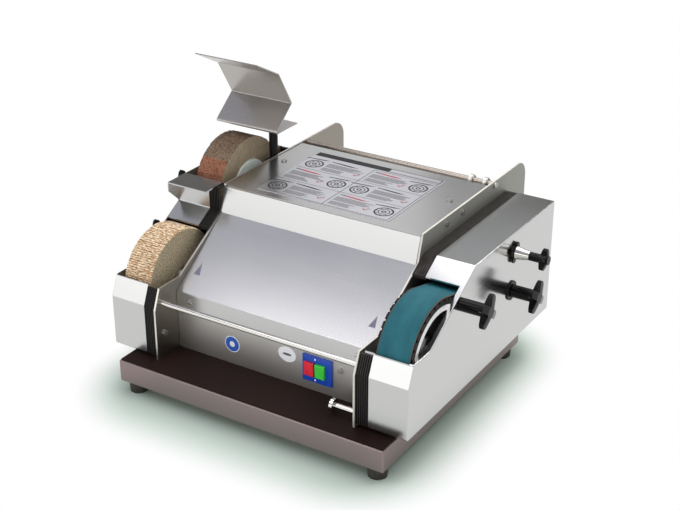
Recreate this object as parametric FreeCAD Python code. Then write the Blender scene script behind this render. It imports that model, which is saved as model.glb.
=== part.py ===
import FreeCAD, Part
import math
import os

# Wet belt sharpener for knives: a steel body on a low base, with an abrasive belt running in a water
# casing on the right, a cloth polishing wheel and a flap wheel in an open casing on the left.
# Millimetres. X runs right along the front, Y to the back, Z up. The origin is on the floor, under the
# middle of the overall box. Distances "behind" are measured back from the base's front edge, and
# heights "above deck" from the top of the base.

# Stance
overall_depth = 540.0
base_width = 450.0
base_depth = 416.0
base_height = 35.0
base_sheet = 2.0
base_bend = 2.0
base_lip = 50.0
mat_thickness = 2.0
mat_margin = 2.5
foot_height = 20.0
foot_diameter = 30.0
foot_taper = 1.5
foot_inset = 19.0
foot_recess_diameter = 15.0
foot_recess_depth = 8.0

# Cheek plates
left_cheek_inset = 49.0
right_cheek_inset = 61.0
cheek_thickness = 3.0
cheek_behind = 27.5
cheek_nose_above = 81.0
cheek_brow_above = 112.0
cheek_brow_setback = 12.5
cheek_step_behind = 88.0
cheek_shoulder_above = 175.0
cheek_strip_setback = 12.5
cheek_top_above = 216.0
cheek_rear_margin = 2.0
ear_radius = 27.0
ear_under_above = 145.0
ear_root_above = 100.0
cheek_flange = 18.0
cheek_flange_margin = 20.0
slope_angle = 30.5

# Covers between the cheeks
panel_sheet = 1.5
panel_bend = 1.5
panel_gap = 0.4
front_panel_behind = 77.0
front_panel_drop = 5.0
bonnet_edge_above = 93.0
bonnet_flange = 30.0
bonnet_slope_angle = 34.9
bonnet_shoulder_above = 174.5
bonnet_lip = 14.0
top_panel_drop = 1.0
top_flange = 14.0
panel_foot = 15.0
rear_panel_inset = 6.0
plate_thickness = 0.8
plate_width = 226.0
plate_depth = 172.0
plate_shift = -6.0
plate_behind_edge = 14.0
vent_rows = 6
vent_pitch = 12.0
vent_length = 70.0
vent_height = 4.0
vent_above = 80.0
vent_offset = 85.0
gland_offset = 95.0
gland_above = 30.0
gland_diameter = 24.0
gland_bore = 9.0
gland_length = 22.0

# Side casings and gaskets
casing_sheet = 2.0
casing_bend = 3.0
casing_edge = 1.2
casing_width = 60.0
left_casing_overhang = 29.0
right_casing_overhang = 20.0
casing_behind = 28.0
casing_lift = 5.0
casing_nose_above = 84.0
casing_brow_above = 115.0
casing_brow_setback = 13.0
casing_step_behind = 86.0
right_casing_depth = 444.0
right_top_above = 188.0
belt_window_depth = 137.0
window_rim = 7.0
window_lip = 13.0
left_casing_depth = 358.0
left_top_above = 215.0
left_face_behind = 192.0
polish_window_depth = 122.0
shelf_behind = 168.0
shelf_depth = 44.0
shelf_nose_drop = 15.0
shelf_overhang = 12.0
flap_window_depth = 168.0
gasket_depth = 4.6
gasket_inset = 1.0
gasket_groove = 2.0
gasket_ribs = 7
gasket_clearance = 0.4

# Rods across the body
front_rod_diameter = 8.0
front_rod_behind = 41.0
front_rod_above = 90.0
rear_bar_diameter = 10.0
rear_bar_behind = 430.0
rear_bar_above = 210.0
collar_diameter = 18.0
collar_width = 8.0
collar_offsets = (8.0, 32.0)

# Shafts, wheels and the grinding belt
front_axis_behind = 121.0
front_axis_above = 90.0
upper_axis_behind = 298.0
upper_axis_above = 177.0
shaft_diameter = 20.0
shaft_collar_diameter = 30.0
running_clearance = 0.05
free_clearance = 0.3
belt_width = 50.0
belt_thickness = 1.2
belt_gap_to_rim = 1.0
tyre_overhang = 4.2
contact_diameter = 159.0
tyre_thickness = 9.0
tyre_slot_count = 36
tyre_slot_width = 4.0
tyre_slot_depth = 5.0
tyre_slot_angle = 25.0
hub_rim = 8.0
hub_web = 10.0
hub_boss_diameter = 44.0
hub_boss_length = 36.0
wheel_wall_gap = 5.0
wheel_width = 48.0
wheel_side_gap = 8.0
wheel_recess_diameter = 70.0
wheel_recess_depth = 12.0
polish_diameter = 154.0
polish_pleat_count = 72
polish_pleat_depth = 1.5
flap_diameter = 157.0
flap_count = 40
flap_step = 1.4
flange_thickness = 4.0
flange_diameter = 40.0
disc_diameter = 84.0
disc_thickness = 3.0
nut_width = 26.0
nut_height = 8.0
bearing_length = 22.0
bearing_plate = 8.0
bearing_boss_diameter = 42.0
bearing_ear_spacing = 64.0
bearing_ear_radius = 10.0
bearing_clear_hole = 4.0
sleeve_length = 62.0
seal_width = 2.6

# Idler roller and its carriage
idler_axis_behind = 330.0
idler_axis_above = 98.0
idler_diameter = 40.0
idler_crown = 0.6
axle_diameter = 10.0
tension_travel = 12.0
carriage_length = 30.0
carriage_height = 24.0
carriage_block = 11.7
carriage_plate = 5.7
tongue_length = 16.0
tongue_height = 11.4
washer_diameter = 30.0
washer_thickness = 1.7

# Knobs and studs
knob_reach = 46.0
knob_arm_count = 4
knob_tip_radius = 25.0
knob_arm_width = 12.0
knob_head = 12.0
knob_hub_diameter = 19.0
knob_angle = 54.0
knob_bore_end = 3.0
clamp_stud_diameter = 8.0
clamp_stud_inside = 6.0
weld_nut_height = 3.5
weld_nut_width = 15.0
front_knob_behind = 168.0
front_knob_above = 148.0
left_front_knob_behind = 184.0
left_front_knob_above = 121.0
left_rear_knob_behind = 253.0
left_rear_knob_above = 180.0
left_knob_angle = 90.0
adjuster_behind = 332.0
adjuster_above = 159.0
adjuster_reach = 55.0
tie_stud_diameter = 10.0
left_stud_diameter = 8.0
left_stud_behind = 372.0
left_stud_above = 112.0
tie_nut_height = 7.0
tie_nut_width = 17.0
small_star_radius = 16.0
small_star_arm = 8.0
lock_star_arm = 11.0
small_star_angle = 64.0
lock_star_thickness = 5.0
small_star_thickness = 12.0
cone_large_diameter = 20.0
cone_small_diameter = 13.0
cone_length = 20.0
cap_thickness = 2.0

# Drive inside the body
motor_axis_behind = 290.0
motor_axis_above = 76.0
motor_diameter = 122.0
motor_fin_count = 26
motor_fin_depth = 5.0
motor_length = 110.0
motor_shift = 35.0
motor_bell = 20.0
motor_fan_cover = 32.0
motor_foot_width = 26.0
motor_foot_spread = 100.0
motor_foot_thickness = 10.0
motor_shaft_diameter = 19.0
motor_shaft_bore_depth = 45.0
drive_belt_width = 12.0
drive_belt_thickness = 3.0
pulley_rim = 2.0
pulley_rim_height = 2.5
pulley_spacing = 18.0
drive_pulley_radius = 24.0
front_pulley_radius = 19.0
upper_pulley_radius = 24.0

# Switch
switch_offset = 73.0
switch_above = 36.0
switch_plate_width = 48.0
switch_plate_height = 41.0
switch_plate_thickness = 3.0
switch_body_width = 42.0
switch_body_height = 34.0
switch_body_depth = 42.0
button_width = 16.0
button_height = 21.0
button_spacing = 18.0
button_shift = -3.0
button_out = 4.0
button_in = 2.0
button_travel = 3.0
button_clearance = 0.4

# Drain pull
drain_behind = 45.0
drain_above = 12.0
drain_rod_diameter = 8.0
drain_out = 44.0
drain_head_diameter = 19.0
drain_head_thickness = 5.0
drain_gate_length = 20.0
drain_gate_width = 18.0
drain_gate_thickness = 2.0
drain_gate_inside = 16.5
drain_hole_diameter = 10.0
drain_spout_wall = 2.0
drain_spout_length = 12.0

# Guard over the flap wheel
guard_sheet_thickness = 1.5
guard_width = 113.0
guard_overhang = 1.0
guard_foot_behind = 355.0
guard_foot_above = 273.0
guard_bend_behind = 296.0
guard_waist_behind = 341.0
guard_waist_rise = 36.5
guard_brow_behind = 307.0
guard_brow_rise = 92.5
guard_tip_behind = 252.0
guard_tip_rise = 121.0
guard_post_diameter = 14.0
guard_post_behind = 350.0
guard_post_length = 110.0
guard_arm_length = 52.0
guard_arm_width = 18.0
guard_arm_thickness = 4.0
clamp_height = 36.0
clamp_depth = 26.0
clamp_drop = 9.0
clamp_gap = 1.6
clamp_knob_drop = 10.0
clamp_knob_diameter = 18.0
clamp_knob_length = 15.0
clamp_knob_stem = 6.0

# Screws
screw_head_diameter = 9.0
screw_head_height = 2.5
screw_shank_diameter = 4.0
screw_shank_length = 8.0
screw_slot = 1.2
screw_clearance = 0.3
overcut = 1.0
base_screw_head_diameter = 11.0
base_screw_length = 14.0
side_screw_behind = (277.0, 326.0)
side_screw_drop = 11.0
top_screw_behind = 331.0
top_screw_margin = 21.0
bonnet_screw_margin = 22.0
bonnet_screw_drop = 14.0
panel_screw_offset = 110.0
panel_screw_above = 46.0
inner_screw_behind = 46.0
inner_screw_above = 38.0


# Places worked out from the sizes above

front = -overall_depth / 2
rear = overall_depth / 2
deck = foot_height + base_height
mat_top = deck
left_cheek_outer = left_cheek_inset - base_width / 2
right_cheek_outer = base_width / 2 - right_cheek_inset
left_casing_outer = -base_width / 2 - left_casing_overhang
right_casing_outer = base_width / 2 + right_casing_overhang
tray_top = deck - mat_thickness


def behind(distance):
    return front + distance


def above(height):
    return deck + height


left_inner = left_cheek_outer + cheek_thickness
right_inner = right_cheek_outer - cheek_thickness
panel_left = left_inner + panel_gap
panel_right = right_inner - panel_gap
left_casing_inner = left_casing_outer + casing_width
right_casing_inner = right_casing_outer - casing_width
left_wall = left_casing_outer + casing_sheet
right_wall = right_casing_outer - casing_sheet
slope = math.tan(math.radians(slope_angle))

front_axis = (behind(front_axis_behind), above(front_axis_above))
upper_axis = (behind(upper_axis_behind), above(upper_axis_above))
idler_axis = (behind(idler_axis_behind), above(idler_axis_above))
motor_axis = (behind(motor_axis_behind), above(motor_axis_above))
adjuster_axis = (behind(adjuster_behind), above(adjuster_above))
front_knob_axis = (behind(front_knob_behind), above(front_knob_above))
left_front_axis = (behind(left_front_knob_behind), above(left_front_knob_above))
left_rear_axis = (behind(left_rear_knob_behind), above(left_rear_knob_above))
left_stud_axis = (behind(left_stud_behind), above(left_stud_above))
front_rod_axis = (behind(front_rod_behind), above(front_rod_above))
rear_bar_axis = (behind(rear_bar_behind), above(rear_bar_above))
drain_axis = (behind(drain_behind), above(drain_above))

shaft_radius = shaft_diameter / 2
contact_radius = contact_diameter / 2
belt_inner_radius = contact_radius + free_clearance
belt_right = right_wall - wheel_wall_gap - belt_gap_to_rim
belt_left = belt_right - belt_width
contact_right = belt_right + belt_gap_to_rim
contact_left = belt_left - tyre_overhang
wheel_left = left_wall + wheel_side_gap
wheel_right = wheel_left + wheel_width
recess_floor = wheel_left + wheel_recess_depth
top_z = above(cheek_top_above) - top_panel_drop
top_under = top_z - panel_sheet
rear_panel_back = behind(base_depth) - rear_panel_inset


# Shape helpers

def vec(x, y, z):
    return FreeCAD.Vector(x, y, z)


def block(x0, x1, y0, y1, z0, z1):
    return Part.makeBox(x1 - x0, y1 - y0, z1 - z0, vec(x0, y0, z0))


def rod_x(x0, x1, axis, radius):
    return Part.makeCylinder(radius, x1 - x0, vec(x0, axis[0], axis[1]), vec(1, 0, 0))


def rod_y(y0, y1, x, z, radius):
    return Part.makeCylinder(radius, y1 - y0, vec(x, y0, z), vec(0, 1, 0))


def rod_z(z0, z1, x, y, radius):
    return Part.makeCylinder(radius, z1 - z0, vec(x, y, z0), vec(0, 0, 1))


def joined(shapes):
    first = shapes[0]
    if len(shapes) > 1:
        first = first.multiFuse(shapes[1:])
    return first.removeSplitter()


def outline(points):
    """Closed face in the YZ plane; a point (y, z, r) is a corner rounded to radius r."""
    starts = []
    ends = []
    middles = []
    count = len(points)
    for i, point in enumerate(points):
        here = vec(0, point[0], point[1])
        radius = point[2] if len(point) > 2 else 0.0
        before = vec(0, points[i - 1][0], points[i - 1][1]) - here
        after = vec(0, points[(i + 1) % count][0], points[(i + 1) % count][1]) - here
        before.normalize()
        after.normalize()
        half = before.getAngle(after) / 2
        reach = radius / math.tan(half)
        bisector = before + after
        bisector.normalize()
        starts.append(here + before * reach)
        ends.append(here + after * reach)
        middles.append(here + bisector * (radius / math.sin(half) - radius))
    edges = []
    for i in range(count):
        if len(points[i]) > 2:
            edges.append(Part.Arc(starts[i], middles[i], ends[i]).toShape())
        edges.append(Part.LineSegment(ends[i], starts[(i + 1) % count]).toShape())
    return Part.Face(Part.Wire(edges))


def extruded(face, x0, x1):
    solid = face.extrude(vec(x1 - x0, 0, 0))
    solid.translate(vec(x0, 0, 0))
    return solid


def inset(face, distance):
    """The same outline drawn in by a distance, with sharp corners kept."""
    return face.makeOffset2D(-distance, 2)


def ring(face, outer, inner, x0, x1):
    hollow = extruded(inset(face, inner), x0, x1)
    return extruded(inset(face, outer) if outer else face, x0, x1).cut(hollow)


def folded(points, thickness, bend):
    """Sheet section in the YZ plane: a polyline thickened to its right-hand side, with rounded bends."""
    line = [vec(0, y, z) for y, z in points]
    normals = []
    for a, b in zip(line, line[1:]):
        run = b - a
        run.normalize()
        normals.append(vec(0, run.z, -run.y))
    first = line[0] + normals[0] * thickness
    last = line[-1] + normals[-1] * thickness
    near = [points[0]]
    far = [(first.y, first.z)]
    for i in range(1, len(line) - 1):
        mean = normals[i - 1] + normals[i]
        corner = line[i] + mean * (2 * thickness / mean.dot(mean))
        turns_right = normals[i - 1].cross(normals[i]).x < 0
        near.append((line[i].y, line[i].z, bend + thickness if turns_right else bend))
        far.append((corner.y, corner.z, bend if turns_right else bend + thickness))
    near.append(points[-1])
    far.append((last.y, last.z))
    return outline(near + far[::-1])


def spun(profile, axis):
    """Solid of revolution about an X-parallel axis from a closed (x, radius) profile."""
    points = [vec(x, axis[0] + r, axis[1]) for x, r in profile]
    face = Part.Face(Part.makePolygon(points + [points[0]]))
    return face.revolve(vec(0, axis[0], axis[1]), vec(1, 0, 0), 360)


def toothed(axis, radius, count, profile, x0, x1):
    """Disc whose rim repeats a profile of (share of the pitch, depth below the radius)."""
    points = []
    for k in range(count):
        for share, drop in profile:
            angle = 2 * math.pi * (k + share) / count
            reach = radius - drop
            points.append((axis[0] + reach * math.cos(angle), axis[1] + reach * math.sin(angle)))
    return extruded(outline(points), x0, x1)


def hexagon(x0, x1, axis, across_flats):
    corner = across_flats / math.sqrt(3)
    points = []
    for k in range(6):
        angle = math.radians(60 * k)
        points.append((axis[0] + corner * math.cos(angle), axis[1] + corner * math.sin(angle)))
    return extruded(outline(points), x0, x1)


def belt_path(a, radius_a, b, radius_b, x0, x1):
    """Solid wrapped round two discs, bounded by their outer tangent lines."""
    dy = b[0] - a[0]
    dz = b[1] - a[1]
    heading = math.atan2(dz, dy)
    lean = math.acos((radius_a - radius_b) / math.hypot(dy, dz))
    corners = []
    for centre, radius, side in ((a, radius_a, 1), (b, radius_b, 1), (b, radius_b, -1), (a, radius_a, -1)):
        angle = heading + side * lean
        corners.append((centre[0] + radius * math.cos(angle), centre[1] + radius * math.sin(angle)))
    span = extruded(outline(corners), x0, x1)
    return joined([span, rod_x(x0, x1, a, radius_a), rod_x(x0, x1, b, radius_b)])


def loop_belt(a, radius_a, b, radius_b, thickness, x0, x1):
    outer = belt_path(a, radius_a + thickness, b, radius_b + thickness, x0, x1)
    return outer.cut(belt_path(a, radius_a, b, radius_b, x0, x1))


def obround_x(x0, x1, axis, length, radius):
    """Round-ended bar along Y, centred on the axis, extruded along X."""
    half = length / 2
    near = (axis[0] - half, axis[1])
    far = (axis[0] + half, axis[1])
    middle = block(x0, x1, near[0], far[0], axis[1] - radius, axis[1] + radius)
    return joined([middle, rod_x(x0, x1, near, radius), rod_x(x0, x1, far, radius)])


def aimed(shape, place, direction):
    """Turn a shape built along +Z at the origin to point along a direction at a place."""
    turned = shape.copy()
    turned.Placement = FreeCAD.Placement(place, FreeCAD.Rotation(vec(0, 0, 1), direction))
    return turned


def screw(place, direction, head_diameter, shank_length):
    head = Part.makeCylinder(head_diameter / 2, screw_head_height)
    shank = Part.makeCylinder(screw_shank_diameter / 2, shank_length, vec(0, 0, -shank_length))
    slot = block(-head_diameter, head_diameter, -screw_slot / 2, screw_slot / 2,
                 screw_head_height / 2, screw_head_height * 2)
    return aimed(joined([head, shank]).cut(slot), place, direction)


def screw_hole(place, direction, depth):
    radius = screw_shank_diameter / 2 + screw_clearance
    drill = Part.makeCylinder(radius, 2 * depth, vec(0, 0, -depth))
    return aimed(drill, place, direction)


def drilled(shape, places, direction, depth):
    holes = [screw_hole(place, direction, depth) for place in places]
    return shape.cut(holes)


# Screw places, shared by the screws and by the holes they pass through

right_way = vec(1, 0, 0)
left_way = vec(-1, 0, 0)
up_way = vec(0, 0, 1)
front_way = vec(0, -1, 0)


def on_cheek(outer, axis):
    return vec(outer, axis[0], axis[1])


side_axes = [(behind(d), above(cheek_top_above) - side_screw_drop) for d in side_screw_behind]
inner_axis = (behind(inner_screw_behind), above(inner_screw_above))
cheek_axes = side_axes + [front_rod_axis, rear_bar_axis]
top_places = [vec(panel_left + top_screw_margin, behind(top_screw_behind), top_z),
              vec(panel_right - top_screw_margin, behind(top_screw_behind), top_z)]
bonnet_places = [vec(panel_left + bonnet_screw_margin, behind(front_panel_behind),
                     above(bonnet_edge_above) - bonnet_screw_drop),
                 vec(panel_right - bonnet_screw_margin, behind(front_panel_behind),
                     above(bonnet_edge_above) - bonnet_screw_drop)]
panel_face = behind(front_panel_behind) + panel_sheet
panel_places = [vec(panel_screw_offset, panel_face, above(panel_screw_above))]
flange_front = panel_face + panel_sheet + panel_foot + cheek_flange_margin
flange_back = rear_panel_back - panel_sheet - panel_foot - cheek_flange_margin
flange_screw_y = [flange_front + cheek_flange, flange_back - cheek_flange]
flange_places = []
for screw_y in flange_screw_y:
    flange_places.append(vec(left_inner + cheek_flange / 2, screw_y, mat_top + cheek_thickness))
    flange_places.append(vec(right_inner - cheek_flange / 2, screw_y, mat_top + cheek_thickness))
motor_feet = []
for foot_y in (motor_axis[0] - motor_foot_spread / 2, motor_axis[0] + motor_foot_spread / 2):
    for foot_x in (motor_shift - motor_length / 3, motor_shift + motor_length / 3):
        motor_feet.append(vec(foot_x, foot_y, mat_top + motor_foot_thickness))
foot_places = []
for foot_x in (-base_width / 2 + foot_inset, base_width / 2 - foot_inset):
    for foot_y in (front + foot_inset, behind(base_depth) - foot_inset):
        foot_places.append(vec(foot_x, foot_y, foot_height))


# Base

def base_tray():
    half = base_width / 2
    back_edge = behind(base_depth)
    outer = block(-half, half, front, back_edge, foot_height, tray_top)
    outer = outer.makeFillet(base_bend, [e for e in outer.Edges if e.BoundBox.ZMax > tray_top - base_bend])
    inner = block(-half + base_sheet, half - base_sheet, front + base_sheet, back_edge - base_sheet,
                  foot_height + base_sheet, tray_top - base_sheet)
    window = block(-half + base_sheet, half - base_sheet, front + base_lip, back_edge - base_lip,
                   foot_height - base_sheet, foot_height + 2 * base_sheet)
    tray = outer.cut([inner, window, drain_passage()])
    tray = drilled(tray, flange_places + motor_feet, up_way, base_height - base_sheet)
    return drilled(tray, foot_places, up_way, base_sheet + screw_clearance)


def drain_passage():
    radius = drain_hole_diameter / 2 + drain_spout_wall + 2 * free_clearance
    return rod_z(foot_height + base_sheet, mat_top + base_sheet, drain_x, drain_axis[0], radius)


def deck_mat():
    half = base_width / 2 - mat_margin
    mat = block(-half, half, front + mat_margin, behind(base_depth) - mat_margin, tray_top, mat_top)
    return drilled(mat.cut(drain_passage()), flange_places + motor_feet, up_way, base_height)


def rubber_feet():
    feet = []
    for place in foot_places:
        foot = Part.makeCone(foot_diameter / 2 - foot_taper, foot_diameter / 2, foot_height,
                             vec(place.x, place.y, 0))
        recess = rod_z(0, foot_recess_depth, place.x, place.y, foot_recess_diameter / 2)
        feet.append(drilled(foot.cut(recess), [place], up_way, foot_height))
    return Part.makeCompound(feet)


def base_screws():
    screws = [screw(place, up_way, base_screw_head_diameter, base_screw_length)
              for place in flange_places + motor_feet]
    for place in foot_places:
        seat = vec(place.x, place.y, foot_recess_depth)
        shank = foot_height - foot_recess_depth + 2 * base_sheet
        screws.append(screw(seat, vec(0, 0, -1), base_screw_head_diameter, shank))
    return Part.makeCompound(screws)


# Cheek plates with the rounded ears

def cheek_face():
    nose = behind(cheek_behind)
    brow = nose + cheek_brow_setback
    step = behind(cheek_step_behind)
    shoulder = step + (cheek_shoulder_above - cheek_brow_above) / slope
    root = behind(casing_behind) + right_casing_depth + cheek_rear_margin
    return outline([
        (nose, mat_top),
        (nose, above(cheek_nose_above)),
        (brow, above(cheek_brow_above)),
        (step, above(cheek_brow_above)),
        (shoulder, above(cheek_shoulder_above)),
        (shoulder + cheek_strip_setback, above(cheek_top_above)),
        (rear, above(cheek_top_above), ear_radius),
        (rear, above(ear_under_above), ear_radius / 2),
        (root, above(ear_root_above)),
        (root, mat_top)])


def cheek(outer, inner, flange_x0, flange_x1):
    plate = extruded(cheek_face(), min(outer, inner), max(outer, inner))
    flange = block(flange_x0, flange_x1, flange_front, flange_back, mat_top, mat_top + cheek_thickness)
    plate = joined([plate, flange])
    plate = drilled(plate, flange_places, up_way, cheek_thickness + screw_clearance)
    shaft_hole = rod_x(min(outer, inner) - overcut, max(outer, inner) + overcut, front_axis,
                       shaft_radius + bearing_clear_hole)
    plate = plate.cut(shaft_hole)
    places = [on_cheek(outer, axis) for axis in cheek_axes + [inner_axis]]
    return drilled(plate, places, right_way, 2 * cheek_thickness)


def left_cheek():
    plate = cheek(left_cheek_outer, left_inner, left_cheek_outer, left_inner + cheek_flange)
    upper = rod_x(left_cheek_outer - overcut, left_inner + overcut, upper_axis,
                  shaft_radius + bearing_clear_hole)
    stud = rod_x(left_cheek_outer - overcut, left_inner + overcut, left_stud_axis,
                 left_stud_diameter / 2 + running_clearance)
    return plate.cut([upper, stud])


def right_cheek():
    plate = cheek(right_cheek_outer, right_inner, right_inner - cheek_flange, right_cheek_outer)
    stud = rod_x(right_inner - overcut, right_cheek_outer + overcut, adjuster_axis,
                 tie_stud_diameter / 2 + running_clearance)
    slot = block(right_inner - overcut, right_cheek_outer + overcut,
                 idler_axis[0] - tongue_length / 2 - tension_travel - free_clearance,
                 idler_axis[0] + tongue_length / 2 + free_clearance,
                 idler_axis[1] - tongue_height / 2 - free_clearance,
                 idler_axis[1] + tongue_height / 2 + free_clearance)
    drain = rod_x(right_inner - overcut, right_cheek_outer + overcut, drain_axis,
                  drain_rod_diameter / 2 + free_clearance)
    return plate.cut([stud, slot, drain])


# Covers between the cheeks

def front_panel():
    top = above(bonnet_edge_above) - front_panel_drop
    sheet = block(panel_left, panel_right, panel_face, panel_face + panel_sheet, mat_top, top)
    foot = block(panel_left, panel_right, panel_face + panel_sheet, panel_face + panel_sheet + panel_foot,
                 mat_top, mat_top + panel_sheet)
    gap = button_clearance
    window = block(switch_offset - switch_body_width / 2 - gap, switch_offset + switch_body_width / 2 + gap,
                   panel_face - overcut, panel_face + panel_sheet + overcut,
                   above(switch_above) - switch_body_height / 2 - gap,
                   above(switch_above) + switch_body_height / 2 + gap)
    panel = joined([sheet, foot]).cut(window)
    return drilled(panel, bonnet_places + panel_places, front_way, screw_shank_length)


def bonnet():
    edge = (behind(front_panel_behind), above(bonnet_edge_above))
    rise = bonnet_shoulder_above - bonnet_edge_above
    shoulder = (edge[0] + rise / math.tan(math.radians(bonnet_slope_angle)), above(bonnet_shoulder_above))
    crest = (shoulder[0] + cheek_strip_setback, top_under)
    section = folded([(edge[0], edge[1] - bonnet_flange), edge, shoulder, crest,
                      (crest[0] + bonnet_lip, top_under)], panel_sheet, panel_bend)
    cover = extruded(section, panel_left, panel_right)
    return drilled(cover, bonnet_places, front_way, screw_shank_length)


def top_front_edge():
    rise = bonnet_shoulder_above - bonnet_edge_above
    run = rise / math.tan(math.radians(bonnet_slope_angle))
    return behind(front_panel_behind) + run + cheek_strip_setback


def top_panel():
    start = top_front_edge() - panel_sheet
    end = rear_panel_back + panel_sheet
    flange_start = start + 2 * bonnet_lip
    sheet = block(panel_left, panel_right, start, end, top_under, top_z)
    left = block(panel_left, panel_left + panel_sheet, flange_start, rear_panel_back - panel_foot,
                 top_under - top_flange, top_under)
    right = block(panel_right - panel_sheet, panel_right, flange_start, rear_panel_back - panel_foot,
                  top_under - top_flange, top_under)
    tail = block(panel_left, panel_right, rear_panel_back, end, top_under - top_flange, top_under)
    bearing_room = rod_x(left_inner, left_inner + sleeve_length, upper_axis,
                         bearing_boss_diameter / 2 + free_clearance)
    panel = joined([sheet, left, right, tail]).cut(bearing_room)
    panel = drilled(panel, top_places, up_way, screw_shank_length)
    side_places = [on_cheek(x, axis) for axis in side_axes for x in (panel_left, panel_right)]
    return drilled(panel, side_places, right_way, 2 * panel_sheet)


def instruction_plate():
    middle = (panel_left + panel_right) / 2 + plate_shift
    start = top_front_edge() + plate_behind_edge
    return block(middle - plate_width / 2, middle + plate_width / 2, start, start + plate_depth,
                 top_z, top_z + plate_thickness)


def rear_panel():
    face = rear_panel_back - panel_sheet
    sheet = block(panel_left, panel_right, face, rear_panel_back, mat_top, top_under - panel_sheet)
    foot = block(panel_left, panel_right, face - panel_foot, face, mat_top, mat_top + panel_sheet)
    panel = joined([sheet, foot])
    cuts = [rod_y(face - overcut, rear_panel_back + overcut, gland_offset, above(gland_above),
                  gland_diameter / 3 + free_clearance)]
    for side in (-vent_offset, vent_offset):
        for row in range(vent_rows):
            low = above(vent_above) + row * vent_pitch
            cuts.append(block(side - vent_length / 2, side + vent_length / 2, face - overcut,
                              rear_panel_back + overcut, low, low + vent_height))
    return panel.cut(cuts)


def cable_gland():
    back_face = rear_panel_back
    nut_end = back_face + gland_length / 3
    collar = rod_y(back_face, nut_end, gland_offset, above(gland_above), gland_diameter / 2)
    dome = Part.makeCone(gland_diameter / 2, gland_diameter / 3, gland_length - gland_length / 3,
                         vec(gland_offset, nut_end, above(gland_above)), vec(0, 1, 0))
    neck = rod_y(back_face - 3 * panel_sheet, back_face, gland_offset, above(gland_above), gland_diameter / 3)
    bore = rod_y(back_face - 4 * panel_sheet, back_face + gland_length + overcut, gland_offset,
                 above(gland_above), gland_bore / 2)
    return joined([collar, dome, neck]).cut(bore)


# Side casings: a flat outer wall with a sheet wrapped round its outline, open towards the cheek

def casing_face(depth, top_above, tail, *bend):
    """Side outline of a casing; its corners are bent to a radius where one is given."""
    nose = behind(casing_behind)
    bottom = above(casing_lift)
    back_plane = nose + depth
    points = [(nose, bottom),
              (nose, above(casing_nose_above)),
              (nose + casing_brow_setback, above(casing_brow_above)),
              (behind(casing_step_behind), above(casing_brow_above))]
    points += tail
    points += [(back_plane, above(top_above)), (back_plane, bottom)]
    return outline([point + bend for point in points])


def right_casing_face(*bend):
    run = (right_top_above - casing_brow_above) / slope
    tail = [(behind(casing_step_behind) + run, above(right_top_above))]
    return casing_face(right_casing_depth, right_top_above, tail, *bend)


left_knee = (behind(left_face_behind),
             above(casing_brow_above) + (left_face_behind - casing_step_behind) * slope)


def left_casing_face(*bend):
    tail = [left_knee, (left_knee[0], above(left_top_above))]
    return casing_face(left_casing_depth, left_top_above, tail, *bend)


def left_wall_face(*bend):
    """The left casing's outline with the gusset that carries the shelf."""
    nose_y = behind(shelf_behind)
    top = above(left_top_above)
    tail = [left_knee, (nose_y, top - shelf_nose_drop), (nose_y, top)]
    return casing_face(left_casing_depth, left_top_above, tail, *bend)


def casing_wall(face, x0, x1, outer):
    """Flat outer wall with its outer edge ground round."""
    wall = extruded(face, x0, x1)
    rim = [e for e in wall.Edges if abs(e.CenterOfMass.x - outer) < casing_sheet / 2]
    return wall.makeFillet(casing_edge, rim)


window_start = behind(casing_behind) + casing_brow_setback
window_floor = above(casing_brow_above) - 2 * casing_sheet
gasket_window_floor = above(casing_brow_above) - gasket_depth - overcut
drain_x = right_casing_inner + drain_gate_inside + drain_gate_length / 2
shelf_back = behind(shelf_behind) + shelf_depth


def weld_nut(x0, x1, axis):
    return hexagon(x0, x1, axis, weld_nut_width)


def stud_hole(x0, x1, axis, diameter):
    return rod_x(x0, x1, axis, diameter / 2 + free_clearance)


def right_casing():
    face = right_casing_face(casing_bend)
    wall = casing_wall(face, right_wall, right_casing_outer, right_casing_outer)
    wrap = ring(face, 0, casing_sheet, right_casing_inner, right_wall)
    window = block(right_casing_inner - overcut, right_casing_outer - window_rim, window_start,
                   window_start + belt_window_depth, window_floor, above(right_top_above) + overcut)
    lip = block(right_casing_inner - window_lip, right_casing_outer - window_rim,
                window_start - casing_sheet / 2, window_start + casing_sheet / 2,
                above(casing_brow_above) - casing_sheet, above(casing_brow_above))
    nut = weld_nut(right_wall - weld_nut_height, right_wall, front_knob_axis)
    spout_radius = drain_hole_diameter / 2 + drain_spout_wall
    spout = rod_z(above(casing_lift) - drain_spout_length, above(casing_lift), drain_x, drain_axis[0],
                  spout_radius)
    casing = joined([wall, wrap.cut(window), lip, nut, spout])
    slot = obround_x(right_wall - overcut, right_casing_outer + overcut,
                     (idler_axis[0] - tension_travel / 2, idler_axis[1]), tension_travel,
                     axle_diameter / 2 + free_clearance)
    drain = rod_z(above(casing_lift) - drain_spout_length - overcut, above(casing_lift) + 2 * casing_sheet,
                  drain_x, drain_axis[0], drain_hole_diameter / 2)
    return casing.cut([
        slot, drain,
        stud_hole(right_wall - overcut, right_casing_outer + overcut, adjuster_axis, tie_stud_diameter),
        stud_hole(right_wall - weld_nut_height - overcut, right_casing_outer + overcut, front_knob_axis,
                  clamp_stud_diameter)])


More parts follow.
